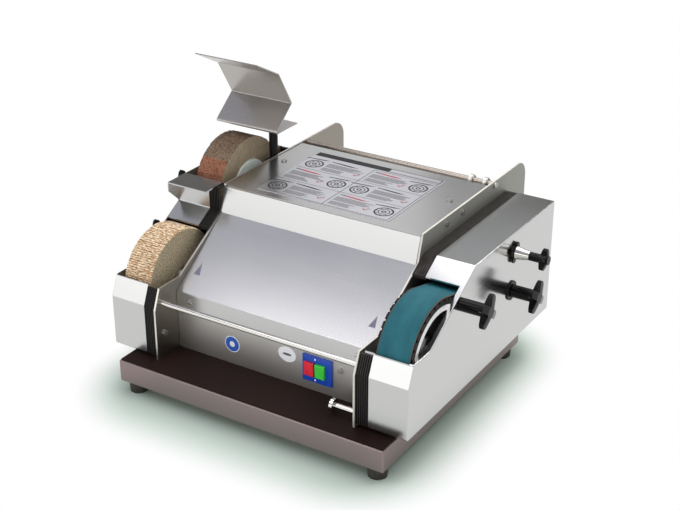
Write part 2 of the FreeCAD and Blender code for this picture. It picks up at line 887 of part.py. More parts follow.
def left_casing():
    face = left_casing_face(casing_bend)
    top = above(left_top_above)
    wall = casing_wall(left_wall_face(casing_bend), left_casing_outer, left_wall, left_casing_outer)
    wrap = ring(face, 0, casing_sheet, left_wall, left_casing_inner)
    low_window = block(left_wall, left_casing_inner + overcut, window_start, window_start + polish_window_depth,
                       window_floor, top)
    high_window = block(left_wall, left_casing_inner + overcut, shelf_back, shelf_back + flap_window_depth,
                        top - 2 * casing_sheet, top + overcut)
    shelf = block(left_wall, left_casing_inner + shelf_overhang, behind(shelf_behind), shelf_back,
                  top - casing_sheet, top)
    nuts = [weld_nut(left_wall, left_wall + weld_nut_height, axis) for axis in (left_front_axis, left_rear_axis)]
    casing = joined([wall, wrap.cut([low_window, high_window]), shelf] + nuts)
    nut_end = left_wall + weld_nut_height
    holes = [stud_hole(left_casing_outer - overcut, nut_end + overcut, axis, clamp_stud_diameter)
             for axis in (left_front_axis, left_rear_axis)]
    holes.append(stud_hole(left_casing_outer - overcut, left_wall + overcut, left_stud_axis, left_stud_diameter))
    return casing.cut(holes)


def ribbed_gasket(face, x0, x1):
    """Rubber seal that follows a casing's outline, with ribs running round its edge."""
    lands = 2 * gasket_ribs - 1
    land = (x1 - x0) / lands
    slices = []
    for i in range(lands):
        outer = gasket_inset + (gasket_groove if i % 2 else 0.0)
        slices.append(ring(face, outer, gasket_depth, x0 + i * land, x0 + (i + 1) * land))
    return joined(slices)


def head_recesses(x0, x1):
    return [rod_x(x0, x1, axis, screw_head_diameter / 2 + free_clearance) for axis in cheek_axes]


def right_gasket():
    x0 = right_cheek_outer
    x1 = right_casing_inner
    seal = ribbed_gasket(right_casing_face(), x0, x1)
    window = block(x0 - overcut, x1 + overcut, window_start - casing_sheet / 2 - gasket_clearance,
                   window_start + belt_window_depth,
                   gasket_window_floor, above(right_top_above))
    drain = rod_x(x0 - overcut, x1 + overcut, drain_axis, drain_rod_diameter / 2 + 2 * free_clearance)
    return seal.cut([window, drain] + head_recesses(x0, x0 + screw_head_height + free_clearance))


def left_gasket():
    x0 = left_casing_inner
    x1 = left_cheek_outer
    top = above(left_top_above)
    seal = ribbed_gasket(left_casing_face(), x0, x1)
    low = block(x0 - overcut, x1 + overcut, window_start - gasket_clearance, window_start + polish_window_depth,
                gasket_window_floor, top - gasket_depth)
    high = block(x0 - overcut, x1 + overcut, shelf_back, shelf_back + flap_window_depth,
                 top - gasket_depth - overcut, top + overcut)
    shelf = block(x0 - overcut, x0 + shelf_overhang + gasket_clearance, behind(shelf_behind),
                  shelf_back + overcut, top - casing_sheet - gasket_clearance, top + overcut)
    return seal.cut([low, high, shelf] + head_recesses(x1 - screw_head_height - free_clearance, x1))


# Rods across the body

def bored_ends(bar, axis):
    depth = screw_shank_length
    radius = screw_shank_diameter / 2 + screw_clearance
    return bar.cut([rod_x(left_inner - overcut, left_inner + depth, axis, radius),
                    rod_x(right_inner - depth, right_inner + overcut, axis, radius)])


def front_rod():
    return bored_ends(rod_x(left_inner, right_inner, front_rod_axis, front_rod_diameter / 2), front_rod_axis)


def rear_bar():
    return bored_ends(rod_x(left_inner, right_inner, rear_bar_axis, rear_bar_diameter / 2), rear_bar_axis)


def bar_collars():
    collars = []
    bore = rear_bar_diameter / 2 + running_clearance
    edge = collar_width / 6
    radius = collar_diameter / 2
    for offset in collar_offsets:
        end = right_inner - offset
        start = end - collar_width
        collars.append(spun([(start, bore), (start, radius - edge), (start + edge, radius),
                             (end - edge, radius), (end, radius - edge), (end, bore)], rear_bar_axis))
    return Part.makeCompound(collars)


def body_screws():
    screws = []
    for outer, way in ((left_cheek_outer, left_way), (right_cheek_outer, right_way)):
        screws += [screw(on_cheek(outer, axis), way, screw_head_diameter, screw_shank_length)
                   for axis in cheek_axes]
    screws.append(screw(on_cheek(left_inner, inner_axis), right_way, screw_head_diameter, cheek_thickness))
    screws.append(screw(on_cheek(right_inner, inner_axis), left_way, screw_head_diameter, cheek_thickness))
    screws += [screw(p, up_way, screw_head_diameter, screw_shank_length) for p in top_places]
    screws += [screw(p, front_way, screw_head_diameter, screw_shank_length)
               for p in bonnet_places + panel_places]
    return Part.makeCompound(screws)


# Switch

button_y = panel_face - switch_plate_thickness


def button_box(side, gap, y0, y1):
    middle = switch_offset + button_shift + side * button_spacing / 2
    half_w = button_width / 2 + gap
    half_h = button_height / 2 + gap
    level = above(switch_above)
    return block(middle - half_w, middle + half_w, y0, y1, level - half_h, level + half_h)


def switch_plate():
    level = above(switch_above)
    plate = block(switch_offset - switch_plate_width / 2, switch_offset + switch_plate_width / 2,
                  button_y, panel_face, level - switch_plate_height / 2, level + switch_plate_height / 2)
    return plate.cut([button_box(side, button_clearance, button_y - overcut, panel_face + overcut)
                      for side in (-1, 1)])


def switch_body():
    level = above(switch_above)
    body = block(switch_offset - switch_body_width / 2, switch_offset + switch_body_width / 2,
                 panel_face, panel_face + switch_body_depth,
                 level - switch_body_height / 2, level + switch_body_height / 2)
    pocket = button_in + button_travel + button_clearance
    return body.cut([button_box(side, button_clearance, panel_face - overcut, panel_face + pocket)
                     for side in (-1, 1)])


def button(side):
    cap = button_box(side, 0.0, button_y - button_out, panel_face + button_in)
    front_edges = [e for e in cap.Edges if e.BoundBox.YMax < button_y - button_out / 2]
    return cap.makeFillet(button_out / 4, front_edges)


def red_button():
    return button(-1)


def green_button():
    return button(1)


# Front shaft with the contact wheel on the right and the polishing wheel on the left

nut_seat_left = recess_floor - flange_thickness
nut_end_left = nut_seat_left - nut_height
hub_middle = (contact_left + contact_right) / 2
hub_boss_left = contact_left + (contact_right - contact_left - hub_boss_length) / 4
hub_boss_right = hub_boss_left + hub_boss_length
shaft_bore = shaft_radius + running_clearance


def front_shaft():
    bar = rod_x(nut_end_left, hub_boss_right + nut_height, front_axis, shaft_radius)
    collar_radius = shaft_collar_diameter / 2
    right_collar = rod_x(right_cheek_outer + free_clearance, hub_boss_left, front_axis, collar_radius)
    left_collar = rod_x(wheel_right + flange_thickness, left_cheek_outer - free_clearance, front_axis,
                        collar_radius)
    return joined([bar, right_collar, left_collar])


def flange_bearing(face_x, direction, axis, length, ear_angle):
    """Two-bolt flange bearing on a cheek's inner face."""
    far = face_x + direction * length
    plate_end = face_x + direction * bearing_plate
    low, high = sorted((face_x, plate_end))
    ears = obround_x(low, high, axis, bearing_ear_spacing, bearing_ear_radius)
    ears.rotate(vec(0, axis[0], axis[1]), vec(1, 0, 0), ear_angle)
    low, high = sorted((face_x, far))
    boss = rod_x(low, high, axis, bearing_boss_diameter / 2)
    return joined([ears, boss]).cut(rod_x(low - overcut, high + overcut, axis, shaft_bore))


def shaft_bearings():
    return Part.makeCompound([flange_bearing(left_inner, 1, front_axis, bearing_length, slope_angle),
                              flange_bearing(right_inner, -1, front_axis, bearing_length, slope_angle),
                              flange_bearing(left_inner, 1, upper_axis, sleeve_length, 0.0)])


def shaft_seals():
    seals = []
    outer = shaft_radius + bearing_clear_hole - free_clearance
    margin = (cheek_thickness - seal_width) / 2
    for x, axis in ((left_cheek_outer, front_axis), (right_inner, front_axis), (left_cheek_outer, upper_axis)):
        lip = rod_x(x + margin, x + margin + seal_width, axis, outer)
        seals.append(lip.cut(rod_x(x, x + cheek_thickness, axis, shaft_radius + free_clearance)))
    return Part.makeCompound(seals)


def contact_hub():
    rim = contact_radius - tyre_thickness
    inner = rim - hub_rim
    boss = hub_boss_diameter / 2
    web_left = hub_middle - hub_web / 2
    web_right = hub_middle + hub_web / 2
    return spun([(contact_left, rim), (contact_right, rim), (contact_right, inner), (web_right, inner),
                 (web_right, boss), (hub_boss_right, boss), (hub_boss_right, shaft_bore),
                 (hub_boss_left, shaft_bore), (hub_boss_left, boss), (web_left, boss), (web_left, inner),
                 (contact_left, inner)], front_axis)


def contact_tyre():
    rim = contact_radius - tyre_thickness + running_clearance
    tyre = rod_x(contact_left, contact_right, front_axis, contact_radius)
    tyre = tyre.cut(rod_x(contact_left - overcut, contact_right + overcut, front_axis, rim))
    axis_point = vec(0, front_axis[0], front_axis[1])
    top = front_axis[1] + contact_radius
    slots = []
    for k in range(tyre_slot_count):
        slot = block(contact_left - contact_right, contact_right - contact_left,
                     -tyre_slot_width / 2, tyre_slot_width / 2, -tyre_slot_depth, tyre_slot_depth)
        slot.rotate(vec(0, 0, 0), vec(0, 0, 1), tyre_slot_angle)
        slot.translate(vec(hub_middle, front_axis[0], top))
        slot.rotate(axis_point, vec(1, 0, 0), 360.0 * k / tyre_slot_count)
        slots.append(slot)
    return tyre.cut(slots)


def recessed(wheel, axis):
    """A wheel bored for its shaft and hollowed on the left for its nut."""
    recess = rod_x(wheel_left - overcut, recess_floor, axis, wheel_recess_diameter / 2)
    return wheel.cut([recess, rod_x(wheel_left - overcut, wheel_right + overcut, axis, shaft_bore)])


def polishing_wheel():
    pleat = ((0.0, polish_pleat_depth), (0.5, 0.0))
    wheel = toothed(front_axis, polish_diameter / 2, polish_pleat_count, pleat, wheel_left, wheel_right)
    return recessed(wheel, front_axis)


def wheel_disc(x0, x1, axis, diameter):
    return rod_x(x0, x1, axis, diameter / 2).cut(rod_x(x0 - overcut, x1 + overcut, axis, shaft_bore))


def polishing_flanges():
    return Part.makeCompound([
        wheel_disc(nut_seat_left, recess_floor, front_axis, flange_diameter),
        wheel_disc(wheel_right, wheel_right + flange_thickness, front_axis, flange_diameter)])


def bored_nut(x0, x1, axis):
    return hexagon(x0, x1, axis, nut_width).cut(rod_x(x0 - overcut, x1 + overcut, axis, shaft_bore))


def shaft_nuts():
    return Part.makeCompound([bored_nut(nut_end_left, nut_seat_left, front_axis),
                              bored_nut(hub_boss_right, hub_boss_right + nut_height, front_axis)])


def grinding_belt():
    idler_radius = idler_diameter / 2 + free_clearance
    return loop_belt(front_axis, belt_inner_radius, idler_axis, idler_radius, belt_thickness,
                     belt_left, belt_right)


# Idler roller on its sliding carriage

idler_left = contact_left
idler_right = contact_right
axle_radius = axle_diameter / 2


def idler_roller():
    crown = idler_diameter / 2
    edge = crown - idler_crown
    middle = (idler_left + idler_right) / 2
    bore = axle_radius + running_clearance
    return spun([(idler_left, edge), (middle, crown), (idler_right, edge), (idler_right, bore),
                 (idler_left, bore)], idler_axis)


def centred_box(x0, x1, axis, length, height):
    return block(x0, x1, axis[0] - length / 2, axis[0] + length / 2,
                 axis[1] - height / 2, axis[1] + height / 2)


def idler_axle():
    outer_face = right_cheek_outer + free_clearance
    inner_face = right_inner - free_clearance
    shoe = centred_box(outer_face, outer_face + carriage_block, idler_axis, carriage_length, carriage_height)
    tongue = centred_box(inner_face, outer_face, idler_axis, tongue_length, tongue_height)
    keeper = centred_box(inner_face - carriage_plate, inner_face, idler_axis, carriage_length, carriage_height)
    boss = rod_x(outer_face + carriage_block, idler_left - free_clearance, idler_axis, 1.5 * axle_radius)
    axle = rod_x(outer_face + carriage_block, right_casing_outer + knob_reach - knob_bore_end, idler_axis,
                 axle_radius)
    return joined([shoe, tongue, keeper, boss, axle])


washer_face = right_casing_outer + free_clearance


def axle_washer():
    disc = rod_x(washer_face, washer_face + washer_thickness, idler_axis, washer_diameter / 2)
    return disc.cut(rod_x(washer_face - overcut, washer_face + washer_thickness + overcut, idler_axis,
                          axle_radius + running_clearance))


# Star knobs

def star_solid(x0, x1, axis, tip_radius, arm_width, first_angle):
    """Cross of round-ended arms, thinned towards their tips."""
    arm_radius = arm_width / 2
    span = 2 * (tip_radius - arm_radius)
    bars = []
    for k in range(knob_arm_count // 2):
        bar = obround_x(x0, x1, axis, span, arm_radius)
        bar.rotate(vec(0, axis[0], axis[1]), vec(1, 0, 0), first_angle + 360 / knob_arm_count * k)
        bars.append(bar)
    star = joined(bars)
    taper = (x1 - x0) / 4
    envelope = spun([(x0, 0), (x0, arm_radius), (x0 + taper, tip_radius), (x1 - taper, tip_radius),
                     (x1, arm_radius * 1.5), (x1, 0)], axis)
    return star.common(envelope)


def star_knob(face_x, end_x, axis, tip_radius, arm_width, hub_diameter, first_angle):
    """Long-hubbed star knob that stands out from a face along X."""
    direction = 1 if end_x > face_x else -1
    low, high = sorted((end_x - direction * knob_head, end_x))
    star = star_solid(low, high, axis, tip_radius, arm_width, first_angle)
    low, high = sorted((face_x, end_x - direction * knob_head / 2))
    return joined([star, rod_x(low, high, axis, hub_diameter / 2)])


right_knob_face = right_casing_outer + free_clearance
right_knob_end = right_casing_outer + knob_reach
left_knob_face = left_casing_outer - free_clearance
left_knob_end = left_casing_outer - knob_reach


def right_knob(face_x, axis):
    return star_knob(face_x, right_knob_end, axis, knob_tip_radius, knob_arm_width, knob_hub_diameter,
                     knob_angle)


def front_star_knob():
    stud = rod_x(right_casing_outer - clamp_stud_inside, right_knob_face + knob_head, front_knob_axis,
                 clamp_stud_diameter / 2)
    return joined([right_knob(right_knob_face, front_knob_axis), stud])


def rear_star_knob():
    face = washer_face + washer_thickness + free_clearance
    bore = rod_x(face - overcut, right_knob_end - knob_bore_end + free_clearance, idler_axis,
                 axle_radius + running_clearance)
    return right_knob(face, idler_axis).cut(bore)


def left_knob(axis):
    """Small star knob with its own stud, screwed into the casing's weld nut."""
    knob = star_knob(left_knob_face, left_knob_end, axis, small_star_radius, small_star_arm,
                     cone_small_diameter, left_knob_angle)
    stud = rod_x(left_knob_face - knob_head, left_casing_outer + clamp_stud_inside, axis,
                 clamp_stud_diameter / 2)
    return joined([knob, stud])


def left_front_knob():
    return left_knob(left_front_axis)


def left_rear_knob():
    return left_knob(left_rear_axis)


def tie_studs():
    """Studs fixed to the cheeks that pull the casings against their gaskets."""
    left = joined([
        rod_x(left_casing_outer - tie_nut_height, left_inner + tie_nut_height, left_stud_axis,
              left_stud_diameter / 2),
        hexagon(left_casing_outer - tie_nut_height, left_casing_outer, left_stud_axis, tie_nut_width),
        hexagon(left_inner, left_inner + tie_nut_height, left_stud_axis, tie_nut_width)])
    right = joined([
        rod_x(right_inner - tie_nut_height, adjuster_end - knob_bore_end, adjuster_axis,
              tie_stud_diameter / 2),
        hexagon(right_inner - tie_nut_height, right_inner, adjuster_axis, tie_nut_width)])
    return Part.makeCompound([left, right])


adjuster_end = right_casing_outer + adjuster_reach - cap_thickness
lock_face = right_casing_outer + free_clearance
cone_face = lock_face + lock_star_thickness + free_clearance
hub_face = cone_face + cone_length
tie_bore = tie_stud_diameter / 2 + running_clearance


def lock_star():
    end = lock_face + lock_star_thickness
    star = star_solid(lock_face, end, adjuster_axis, small_star_radius, lock_star_arm, small_star_angle)
    core = rod_x(lock_face, end, adjuster_axis, cone_large_diameter / 2)
    return joined([star, core]).cut(rod_x(lock_face - overcut, end + overcut, adjuster_axis, tie_bore))


def cone_sleeve():
    return spun([(cone_face, tie_bore), (cone_face, cone_large_diameter / 2),
                 (hub_face, cone_small_diameter / 2), (hub_face, tie_bore)], adjuster_axis)


def adjuster_knob():
    head_x = adjuster_end - small_star_thickness
    star = star_solid(head_x, adjuster_end, adjuster_axis, small_star_radius, small_star_arm, small_star_angle)
    hub = rod_x(hub_face, adjuster_end - small_star_thickness / 2, adjuster_axis, cone_small_diameter / 2)
    cap = rod_x(adjuster_end - small_star_thickness / 2, adjuster_end + cap_thickness, adjuster_axis,
                cone_small_diameter / 2)
    bore = rod_x(hub_face - overcut, adjuster_end - knob_bore_end + free_clearance, adjuster_axis, tie_bore)
    return joined([star, hub, cap]).cut(bore)


# Upper shaft with the flap wheel

drive_plane = motor_shift - motor_length / 2 - motor_bell - pulley_spacing
front_belt_x = drive_plane
upper_belt_x = drive_plane - pulley_spacing
pulley_half = drive_belt_width / 2 + pulley_rim + free_clearance


def flap_wheel():
    flap = ((0.0, flap_step), (0.96, 0.0))
    wheel = toothed(upper_axis, flap_diameter / 2, flap_count, flap, wheel_left, wheel_right)
    return recessed(wheel, upper_axis)


def flap_discs():
    return Part.makeCompound([
        wheel_disc(nut_seat_left, recess_floor, upper_axis, flange_diameter),
        wheel_disc(wheel_right, wheel_right + disc_thickness, upper_axis, disc_diameter)])


def flap_nut():
    return bored_nut(nut_end_left, nut_seat_left, upper_axis)


def upper_shaft():
    bar = rod_x(nut_end_left, upper_belt_x + pulley_half, upper_axis, shaft_radius)
    collar = rod_x(wheel_right + disc_thickness, left_cheek_outer - free_clearance, upper_axis,
                   shaft_collar_diameter / 2)
    return joined([bar, collar])


# Drive: motor, flanged pulleys and flat ribbed belts

def flanged_pulley(middle, axis, radius, bore):
    half = pulley_half
    face = half - pulley_rim
    rim = radius + pulley_rim_height
    return spun([(middle - half, bore), (middle - half, rim), (middle - face, rim), (middle - face, radius),
                 (middle + face, radius), (middle + face, rim), (middle + half, rim), (middle + half, bore)],
                axis)


def front_pulley():
    return flanged_pulley(front_belt_x, front_axis, front_pulley_radius, shaft_bore)


def upper_pulley():
    return flanged_pulley(upper_belt_x, upper_axis, upper_pulley_radius, shaft_bore)


def drive_pulley():
    bore = motor_shaft_diameter / 2 + running_clearance
    return joined([flanged_pulley(front_belt_x, motor_axis, drive_pulley_radius, bore),
                   flanged_pulley(upper_belt_x, motor_axis, drive_pulley_radius, bore),
                   rod_x(upper_belt_x, front_belt_x, motor_axis, drive_pulley_radius).cut(
                       rod_x(upper_belt_x - overcut, front_belt_x + overcut, motor_axis, bore))])


def drive_belt(middle, axis, radius):
    half = drive_belt_width / 2
    return loop_belt(motor_axis, drive_pulley_radius + free_clearance, axis, radius + free_clearance,
                     drive_belt_thickness, middle - half, middle + half)


def drive_belts():
    return Part.makeCompound([drive_belt(front_belt_x, front_axis, front_pulley_radius),
                              drive_belt(upper_belt_x, upper_axis, upper_pulley_radius)])


motor_left = motor_shift - motor_length / 2
motor_right = motor_shift + motor_length / 2


def motor_body():
    radius = motor_diameter / 2
    fin = ((0.0, motor_fin_depth), (0.15, 0.0), (0.45, 0.0), (0.6, motor_fin_depth))
    stator = toothed(motor_axis, radius, motor_fin_count, fin, motor_left, motor_right)
    bell = Part.makeCone(radius / 2, radius - motor_fin_depth, motor_bell,
                         vec(motor_left - motor_bell, motor_axis[0], motor_axis[1]), vec(1, 0, 0))
    cover = Part.makeCone(radius - motor_fin_depth, radius * 0.85, motor_fan_cover,
                          vec(motor_right, motor_axis[0], motor_axis[1]), vec(1, 0, 0))
    feet = []
    for x in (motor_shift - motor_length / 3, motor_shift + motor_length / 3):
        x0 = x - motor_foot_width / 2
        x1 = x + motor_foot_width / 2
        wide = motor_foot_spread / 2 + motor_foot_width / 2
        feet.append(block(x0, x1, motor_axis[0] - wide, motor_axis[0] + wide,
                          mat_top, mat_top + motor_foot_thickness))
        feet.append(block(x0, x1, motor_axis[0] - motor_foot_spread / 4, motor_axis[0] + motor_foot_spread / 4,
                          mat_top, motor_axis[1]))
    body = joined([stator, bell, cover] + feet)
    bell_end = motor_left - motor_bell
    bore = rod_x(bell_end - overcut, bell_end + motor_shaft_bore_depth, motor_axis,
                 motor_shaft_diameter / 2 + running_clearance)
    return drilled(body.cut(bore), motor_feet, up_way, 2 * motor_foot_thickness)


def motor_shaft():
    return rod_x(upper_belt_x - pulley_half, motor_left - motor_bell + motor_shaft_bore_depth - free_clearance,
                 motor_axis, motor_shaft_diameter / 2)


# Drain pull rod with its slide gate over the casing's drain hole

def drain_rod():
    head_x = right_inner - drain_out
    gate_end = drain_x + drain_gate_length / 2
    floor = above(casing_lift) + casing_sheet + free_clearance
    head = rod_x(head_x, head_x + drain_head_thickness, drain_axis, drain_head_diameter / 2)
    pull = rod_x(head_x, gate_end, drain_axis, drain_rod_diameter / 2)
    gate = block(drain_x - drain_gate_length / 2, gate_end, drain_axis[0] - drain_gate_width / 2,
                 drain_axis[0] + drain_gate_width / 2, floor, floor + drain_gate_thickness)
    web = block(drain_x - drain_gate_length / 2, gate_end, drain_axis[0] - drain_rod_diameter / 4,
                drain_axis[0] + drain_rod_diameter / 4, floor, drain_axis[1])
    return joined([head, pull, gate, web])


# Guard over the flap wheel

guard_left = left_casing_outer - guard_overhang
guard_right = guard_left + guard_width
guard_foot = above(guard_foot_above)
post_x = (left_casing_inner + left_cheek_outer) / 2
post_y = behind(guard_post_behind)
arm_top = guard_foot - guard_sheet_thickness
post_top = arm_top - guard_arm_thickness
clamp_top = above(cheek_top_above) - clamp_drop
clamp_back = post_y + clamp_depth / 2


def guard_sheet():
    bends = [(behind(guard_tip_behind), guard_foot + guard_tip_rise),
             (behind(guard_brow_behind), guard_foot + guard_brow_rise),
             (behind(guard_waist_behind), guard_foot + guard_waist_rise),
             (behind(guard_bend_behind), guard_foot),
             (behind(guard_foot_behind), guard_foot)]
    section = folded(bends, guard_sheet_thickness, panel_bend)
    return extruded(section, guard_left, guard_right)


def guard_post():
    return rod_z(post_top - guard_post_length, post_top, post_x, post_y, guard_post_diameter / 2)


def guard_arm():
    return block(post_x - guard_arm_length / 2, post_x + guard_arm_length / 2,
                 post_y - guard_arm_width / 2, post_y + guard_arm_width / 2, post_top, arm_top)


def guard_clamp():
    body = block(left_casing_inner + clamp_gap, left_cheek_outer, post_y - clamp_depth / 2, clamp_back,
                 clamp_top - clamp_height, clamp_top)
    bore = rod_z(clamp_top - clamp_height - overcut, clamp_top + overcut, post_x, post_y,
                 guard_post_diameter / 2 + running_clearance)
    stem = rod_y(post_y, clamp_back + overcut, post_x, clamp_top - clamp_knob_drop,
                 clamp_knob_stem / 2 + running_clearance)
    return body.cut([bore, stem])


def guard_clamp_knob():
    level = clamp_top - clamp_knob_drop
    start = clamp_back + free_clearance
    stem = rod_y(post_y + guard_post_diameter / 2 + free_clearance, start, post_x, level, clamp_knob_stem / 2)
    head = rod_y(start, start + clamp_knob_length, post_x, level, clamp_knob_diameter / 2)
    lobes = []
    for k in range(5):
        angle = 2 * math.pi * k / 5
        reach = clamp_knob_diameter / 2 + clamp_knob_stem / 4
        lobes.append(rod_y(start - overcut, start + clamp_knob_length + overcut,
                           post_x + reach * math.cos(angle), level + reach * math.sin(angle),
                           clamp_knob_stem / 2))
    return joined([stem, head.cut(lobes)])


pieces = [
    base_tray, deck_mat, rubber_feet, base_screws,
    left_cheek, right_cheek, front_panel, bonnet, top_panel, instruction_plate, rear_panel, cable_gland,
    left_casing, right_casing, left_gasket, right_gasket,
    front_rod, rear_bar, bar_collars, body_screws,
    switch_plate, switch_body, red_button, green_button,
    front_shaft, shaft_bearings, shaft_seals, contact_hub, contact_tyre,
    polishing_wheel, polishing_flanges, shaft_nuts, grinding_belt,
    idler_roller, idler_axle, axle_washer,
    front_star_knob, rear_star_knob, left_front_knob, left_rear_knob,
    tie_studs, lock_star, cone_sleeve, adjuster_knob,
    flap_wheel, flap_discs, flap_nut, upper_shaft,
    front_pulley, upper_pulley, drive_pulley, drive_belts, motor_body, motor_shaft,
    drain_rod,
    guard_sheet, guard_post, guard_arm, guard_clamp, guard_clamp_knob]

os.makedirs("parts", exist_ok=True)
for piece in pieces:
    piece().exportStep("parts/" + piece.__name__ + ".step")
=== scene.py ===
import bpy
import math
import random
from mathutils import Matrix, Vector, noise


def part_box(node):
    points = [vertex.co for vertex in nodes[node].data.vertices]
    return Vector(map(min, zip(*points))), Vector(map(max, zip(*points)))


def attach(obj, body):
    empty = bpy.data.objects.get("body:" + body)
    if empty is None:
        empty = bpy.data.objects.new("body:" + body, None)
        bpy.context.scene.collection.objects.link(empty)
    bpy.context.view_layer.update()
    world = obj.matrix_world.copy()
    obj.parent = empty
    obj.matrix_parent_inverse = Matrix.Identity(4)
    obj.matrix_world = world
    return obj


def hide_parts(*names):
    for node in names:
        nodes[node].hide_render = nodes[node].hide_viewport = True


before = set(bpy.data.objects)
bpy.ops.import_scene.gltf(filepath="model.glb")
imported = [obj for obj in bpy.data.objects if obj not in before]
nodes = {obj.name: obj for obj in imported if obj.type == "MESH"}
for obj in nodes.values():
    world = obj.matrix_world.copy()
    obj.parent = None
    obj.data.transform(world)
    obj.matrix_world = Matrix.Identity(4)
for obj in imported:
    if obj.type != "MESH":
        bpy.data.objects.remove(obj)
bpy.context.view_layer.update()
scene = bpy.context.scene
scene.view_settings.view_transform = "Standard"


# Studio: a white paper sweep in a dim room, with a white wall in front on the left and a grey one on the right.
# Six soft boxes light it: two flat ones overhead, two cards and a small edge lamp behind, and a large key
# lamp high at the back. The sheet metal shows them all. Round the machine the paper is a darker green-grey,
# a painted shadow that fades to plain white further out, and the lamps' own shadows fall on it too.
class Shade:
    """One socket of a node tree. Sums on it add Math nodes, and node() adds any other node."""

    def __init__(self, tree, out=None):
        self.tree = tree
        self.out = out

    def node(self, kind, settings, inputs, out=0):
        made = self.tree.nodes.new("ShaderNode" + kind)
        for key, value in settings.items():
            if key == "stops":
                ramp = made.color_ramp
                while len(ramp.elements) < len(value):
                    ramp.elements.new(1.0)
                for element, (place, colour) in zip(ramp.elements, value):
                    element.position = place
                    element.color = (*colour, 1.0)
            else:
                setattr(made, key, value)
        for key, value in inputs.items():
            socket = made.inputs[key]
            if isinstance(value, Shade):
                self.tree.links.new(value.out, socket)
            elif socket.type == "RGBA" and len(value) == 3:
                socket.default_value = (*value, 1.0)
            else:
                socket.default_value = value
        return Shade(self.tree, made.outputs[out] if made.outputs else None)

    def maths(self, operation, first, second=0.0):
        return self.node("Math", {"operation": operation}, {0: first, 1: second})

    def __add__(self, other):
        return self.maths("ADD", self, other)

    __radd__ = __add__

    def __sub__(self, other):
        return self.maths("SUBTRACT", self, other)

    def __rsub__(self, other):
        return self.maths("SUBTRACT", other, self)

    def __mul__(self, other):
        return self.maths("MULTIPLY", self, other)

    __rmul__ = __mul__

    def __truediv__(self, other):
        return self.maths("DIVIDE", self, other)

    def ramp(self, low, high):
        """0 below low, 1 above high, smooth between."""
        return self.node("MapRange", {"interpolation_type": "SMOOTHSTEP"},
                         {"Value": self, "From Min": low, "From Max": high})

    def blend(self, first, second):
        """The first colour where this is 0, the second where it is 1."""
        return self.node("Mix", {"data_type": "RGBA"}, {0: self, 6: first, 7: second}, 2)

    def dot(self, way):
        return self.node("VectorMath", {"operation": "DOT_PRODUCT"}, {0: self, 1: way}, "Value")

    def times(self, scales):
        return self.node("VectorMath", {"operation": "MULTIPLY"}, {0: self, 1: scales})


room = bpy.data.worlds.new("dim_room")
room.use_nodes = True
room.node_tree.nodes.clear()
scene.world = room
sky = Shade(room.node_tree)
toward = sky.node("TexCoord", {}, {}, "Generated")
height = toward.dot((0.0, 0.0, 1.0))
dim = height.ramp(0.35, 0.80).blend((0.095, 0.088, 0.075), (0.46, 0.47, 0.54))
white_wall = toward.dot((-0.35, -0.94, 0.0)).ramp(0.05, 0.50) * (1 - height.ramp(0.26, 0.46))
grey_wall = toward.dot((0.95, 0.3, 0.0)).ramp(0.2, 0.8) * (1 - height.ramp(0.2, 0.6))
lit_room = white_wall.blend(grey_wall.blend(dim, (0.55, 0.56, 0.56)), (2.0, 2.0, 2.0))
air = height.ramp(0.05, 0.16).blend((1.0, 1.0, 1.0), lit_room)
sky.node("OutputWorld", {}, {"Surface": sky.node("Background", {}, {"Color": air, "Strength": 1.0})})

sweep_reach = 4.0
sweep = bpy.data.meshes.new("paper_sweep")
sweep.from_pydata([(-sweep_reach, -sweep_reach, 0), (sweep_reach, -sweep_reach, 0),
                   (sweep_reach, sweep_reach, 0), (-sweep_reach, sweep_reach, 0)], [], [(0, 1, 2, 3)])
paper_floor = bpy.data.objects.new("paper_sweep", sweep)
scene.collection.objects.link(paper_floor)
paper = bpy.data.materials.new("white_paper")
paper.use_nodes = True
paper.node_tree.nodes.clear()
sweep.materials.append(paper)
# Painted shadow: within a box round the machine the paper is a darker green-grey diffuse, fading to the plain
# white glowing paper with distance from the box; the lamps' real shadows fall on the diffuse part.
shadow_middle = (-0.005, -0.055)
shadow_half = (0.15, 0.155)
shadow_full = 0.085
shadow_end = 0.17
spot = Shade(paper.node_tree).node("TexCoord", {}, {}, "Object")
out_x = spot.dot((1.0, 0.0, 0.0)) - shadow_middle[0]
out_y = spot.dot((0.0, 1.0, 0.0)) - shadow_middle[1]
out_x = out_x.maths("MAXIMUM", out_x.maths("ABSOLUTE", out_x) - shadow_half[0], 0.0)
out_y = out_y.maths("MAXIMUM", out_y.maths("ABSOLUTE", out_y) - shadow_half[1], 0.0)
away = out_x.maths("SQRT", out_x * out_x + out_y * out_y)
matt = spot.node("BsdfDiffuse", {}, {"Color": (0.60, 0.71, 0.62)})
lit = spot.node("Emission", {}, {"Color": (1.0, 1.0, 1.0), "Strength": 1.0})
fade = spot.node("MixShader", {}, {0: away.ramp(shadow_full, shadow_end), 1: matt, 2: lit})
spot.node("OutputMaterial", {}, {"Surface": fade})


def soft_box(name, place, aim, wide, deep, power, tint):
    lamp = bpy.data.lights.new(name, "AREA")
    lamp.shape = "RECTANGLE"
    lamp.size = wide
    lamp.size_y = deep
    lamp.energy = power
    lamp.color = tint
    stand = bpy.data.objects.new(name, lamp)
    stand.location = place
    stand.rotation_euler = (Vector(aim) - Vector(place)).to_track_quat("-Z", "Y").to_euler()
    scene.collection.objects.link(stand)


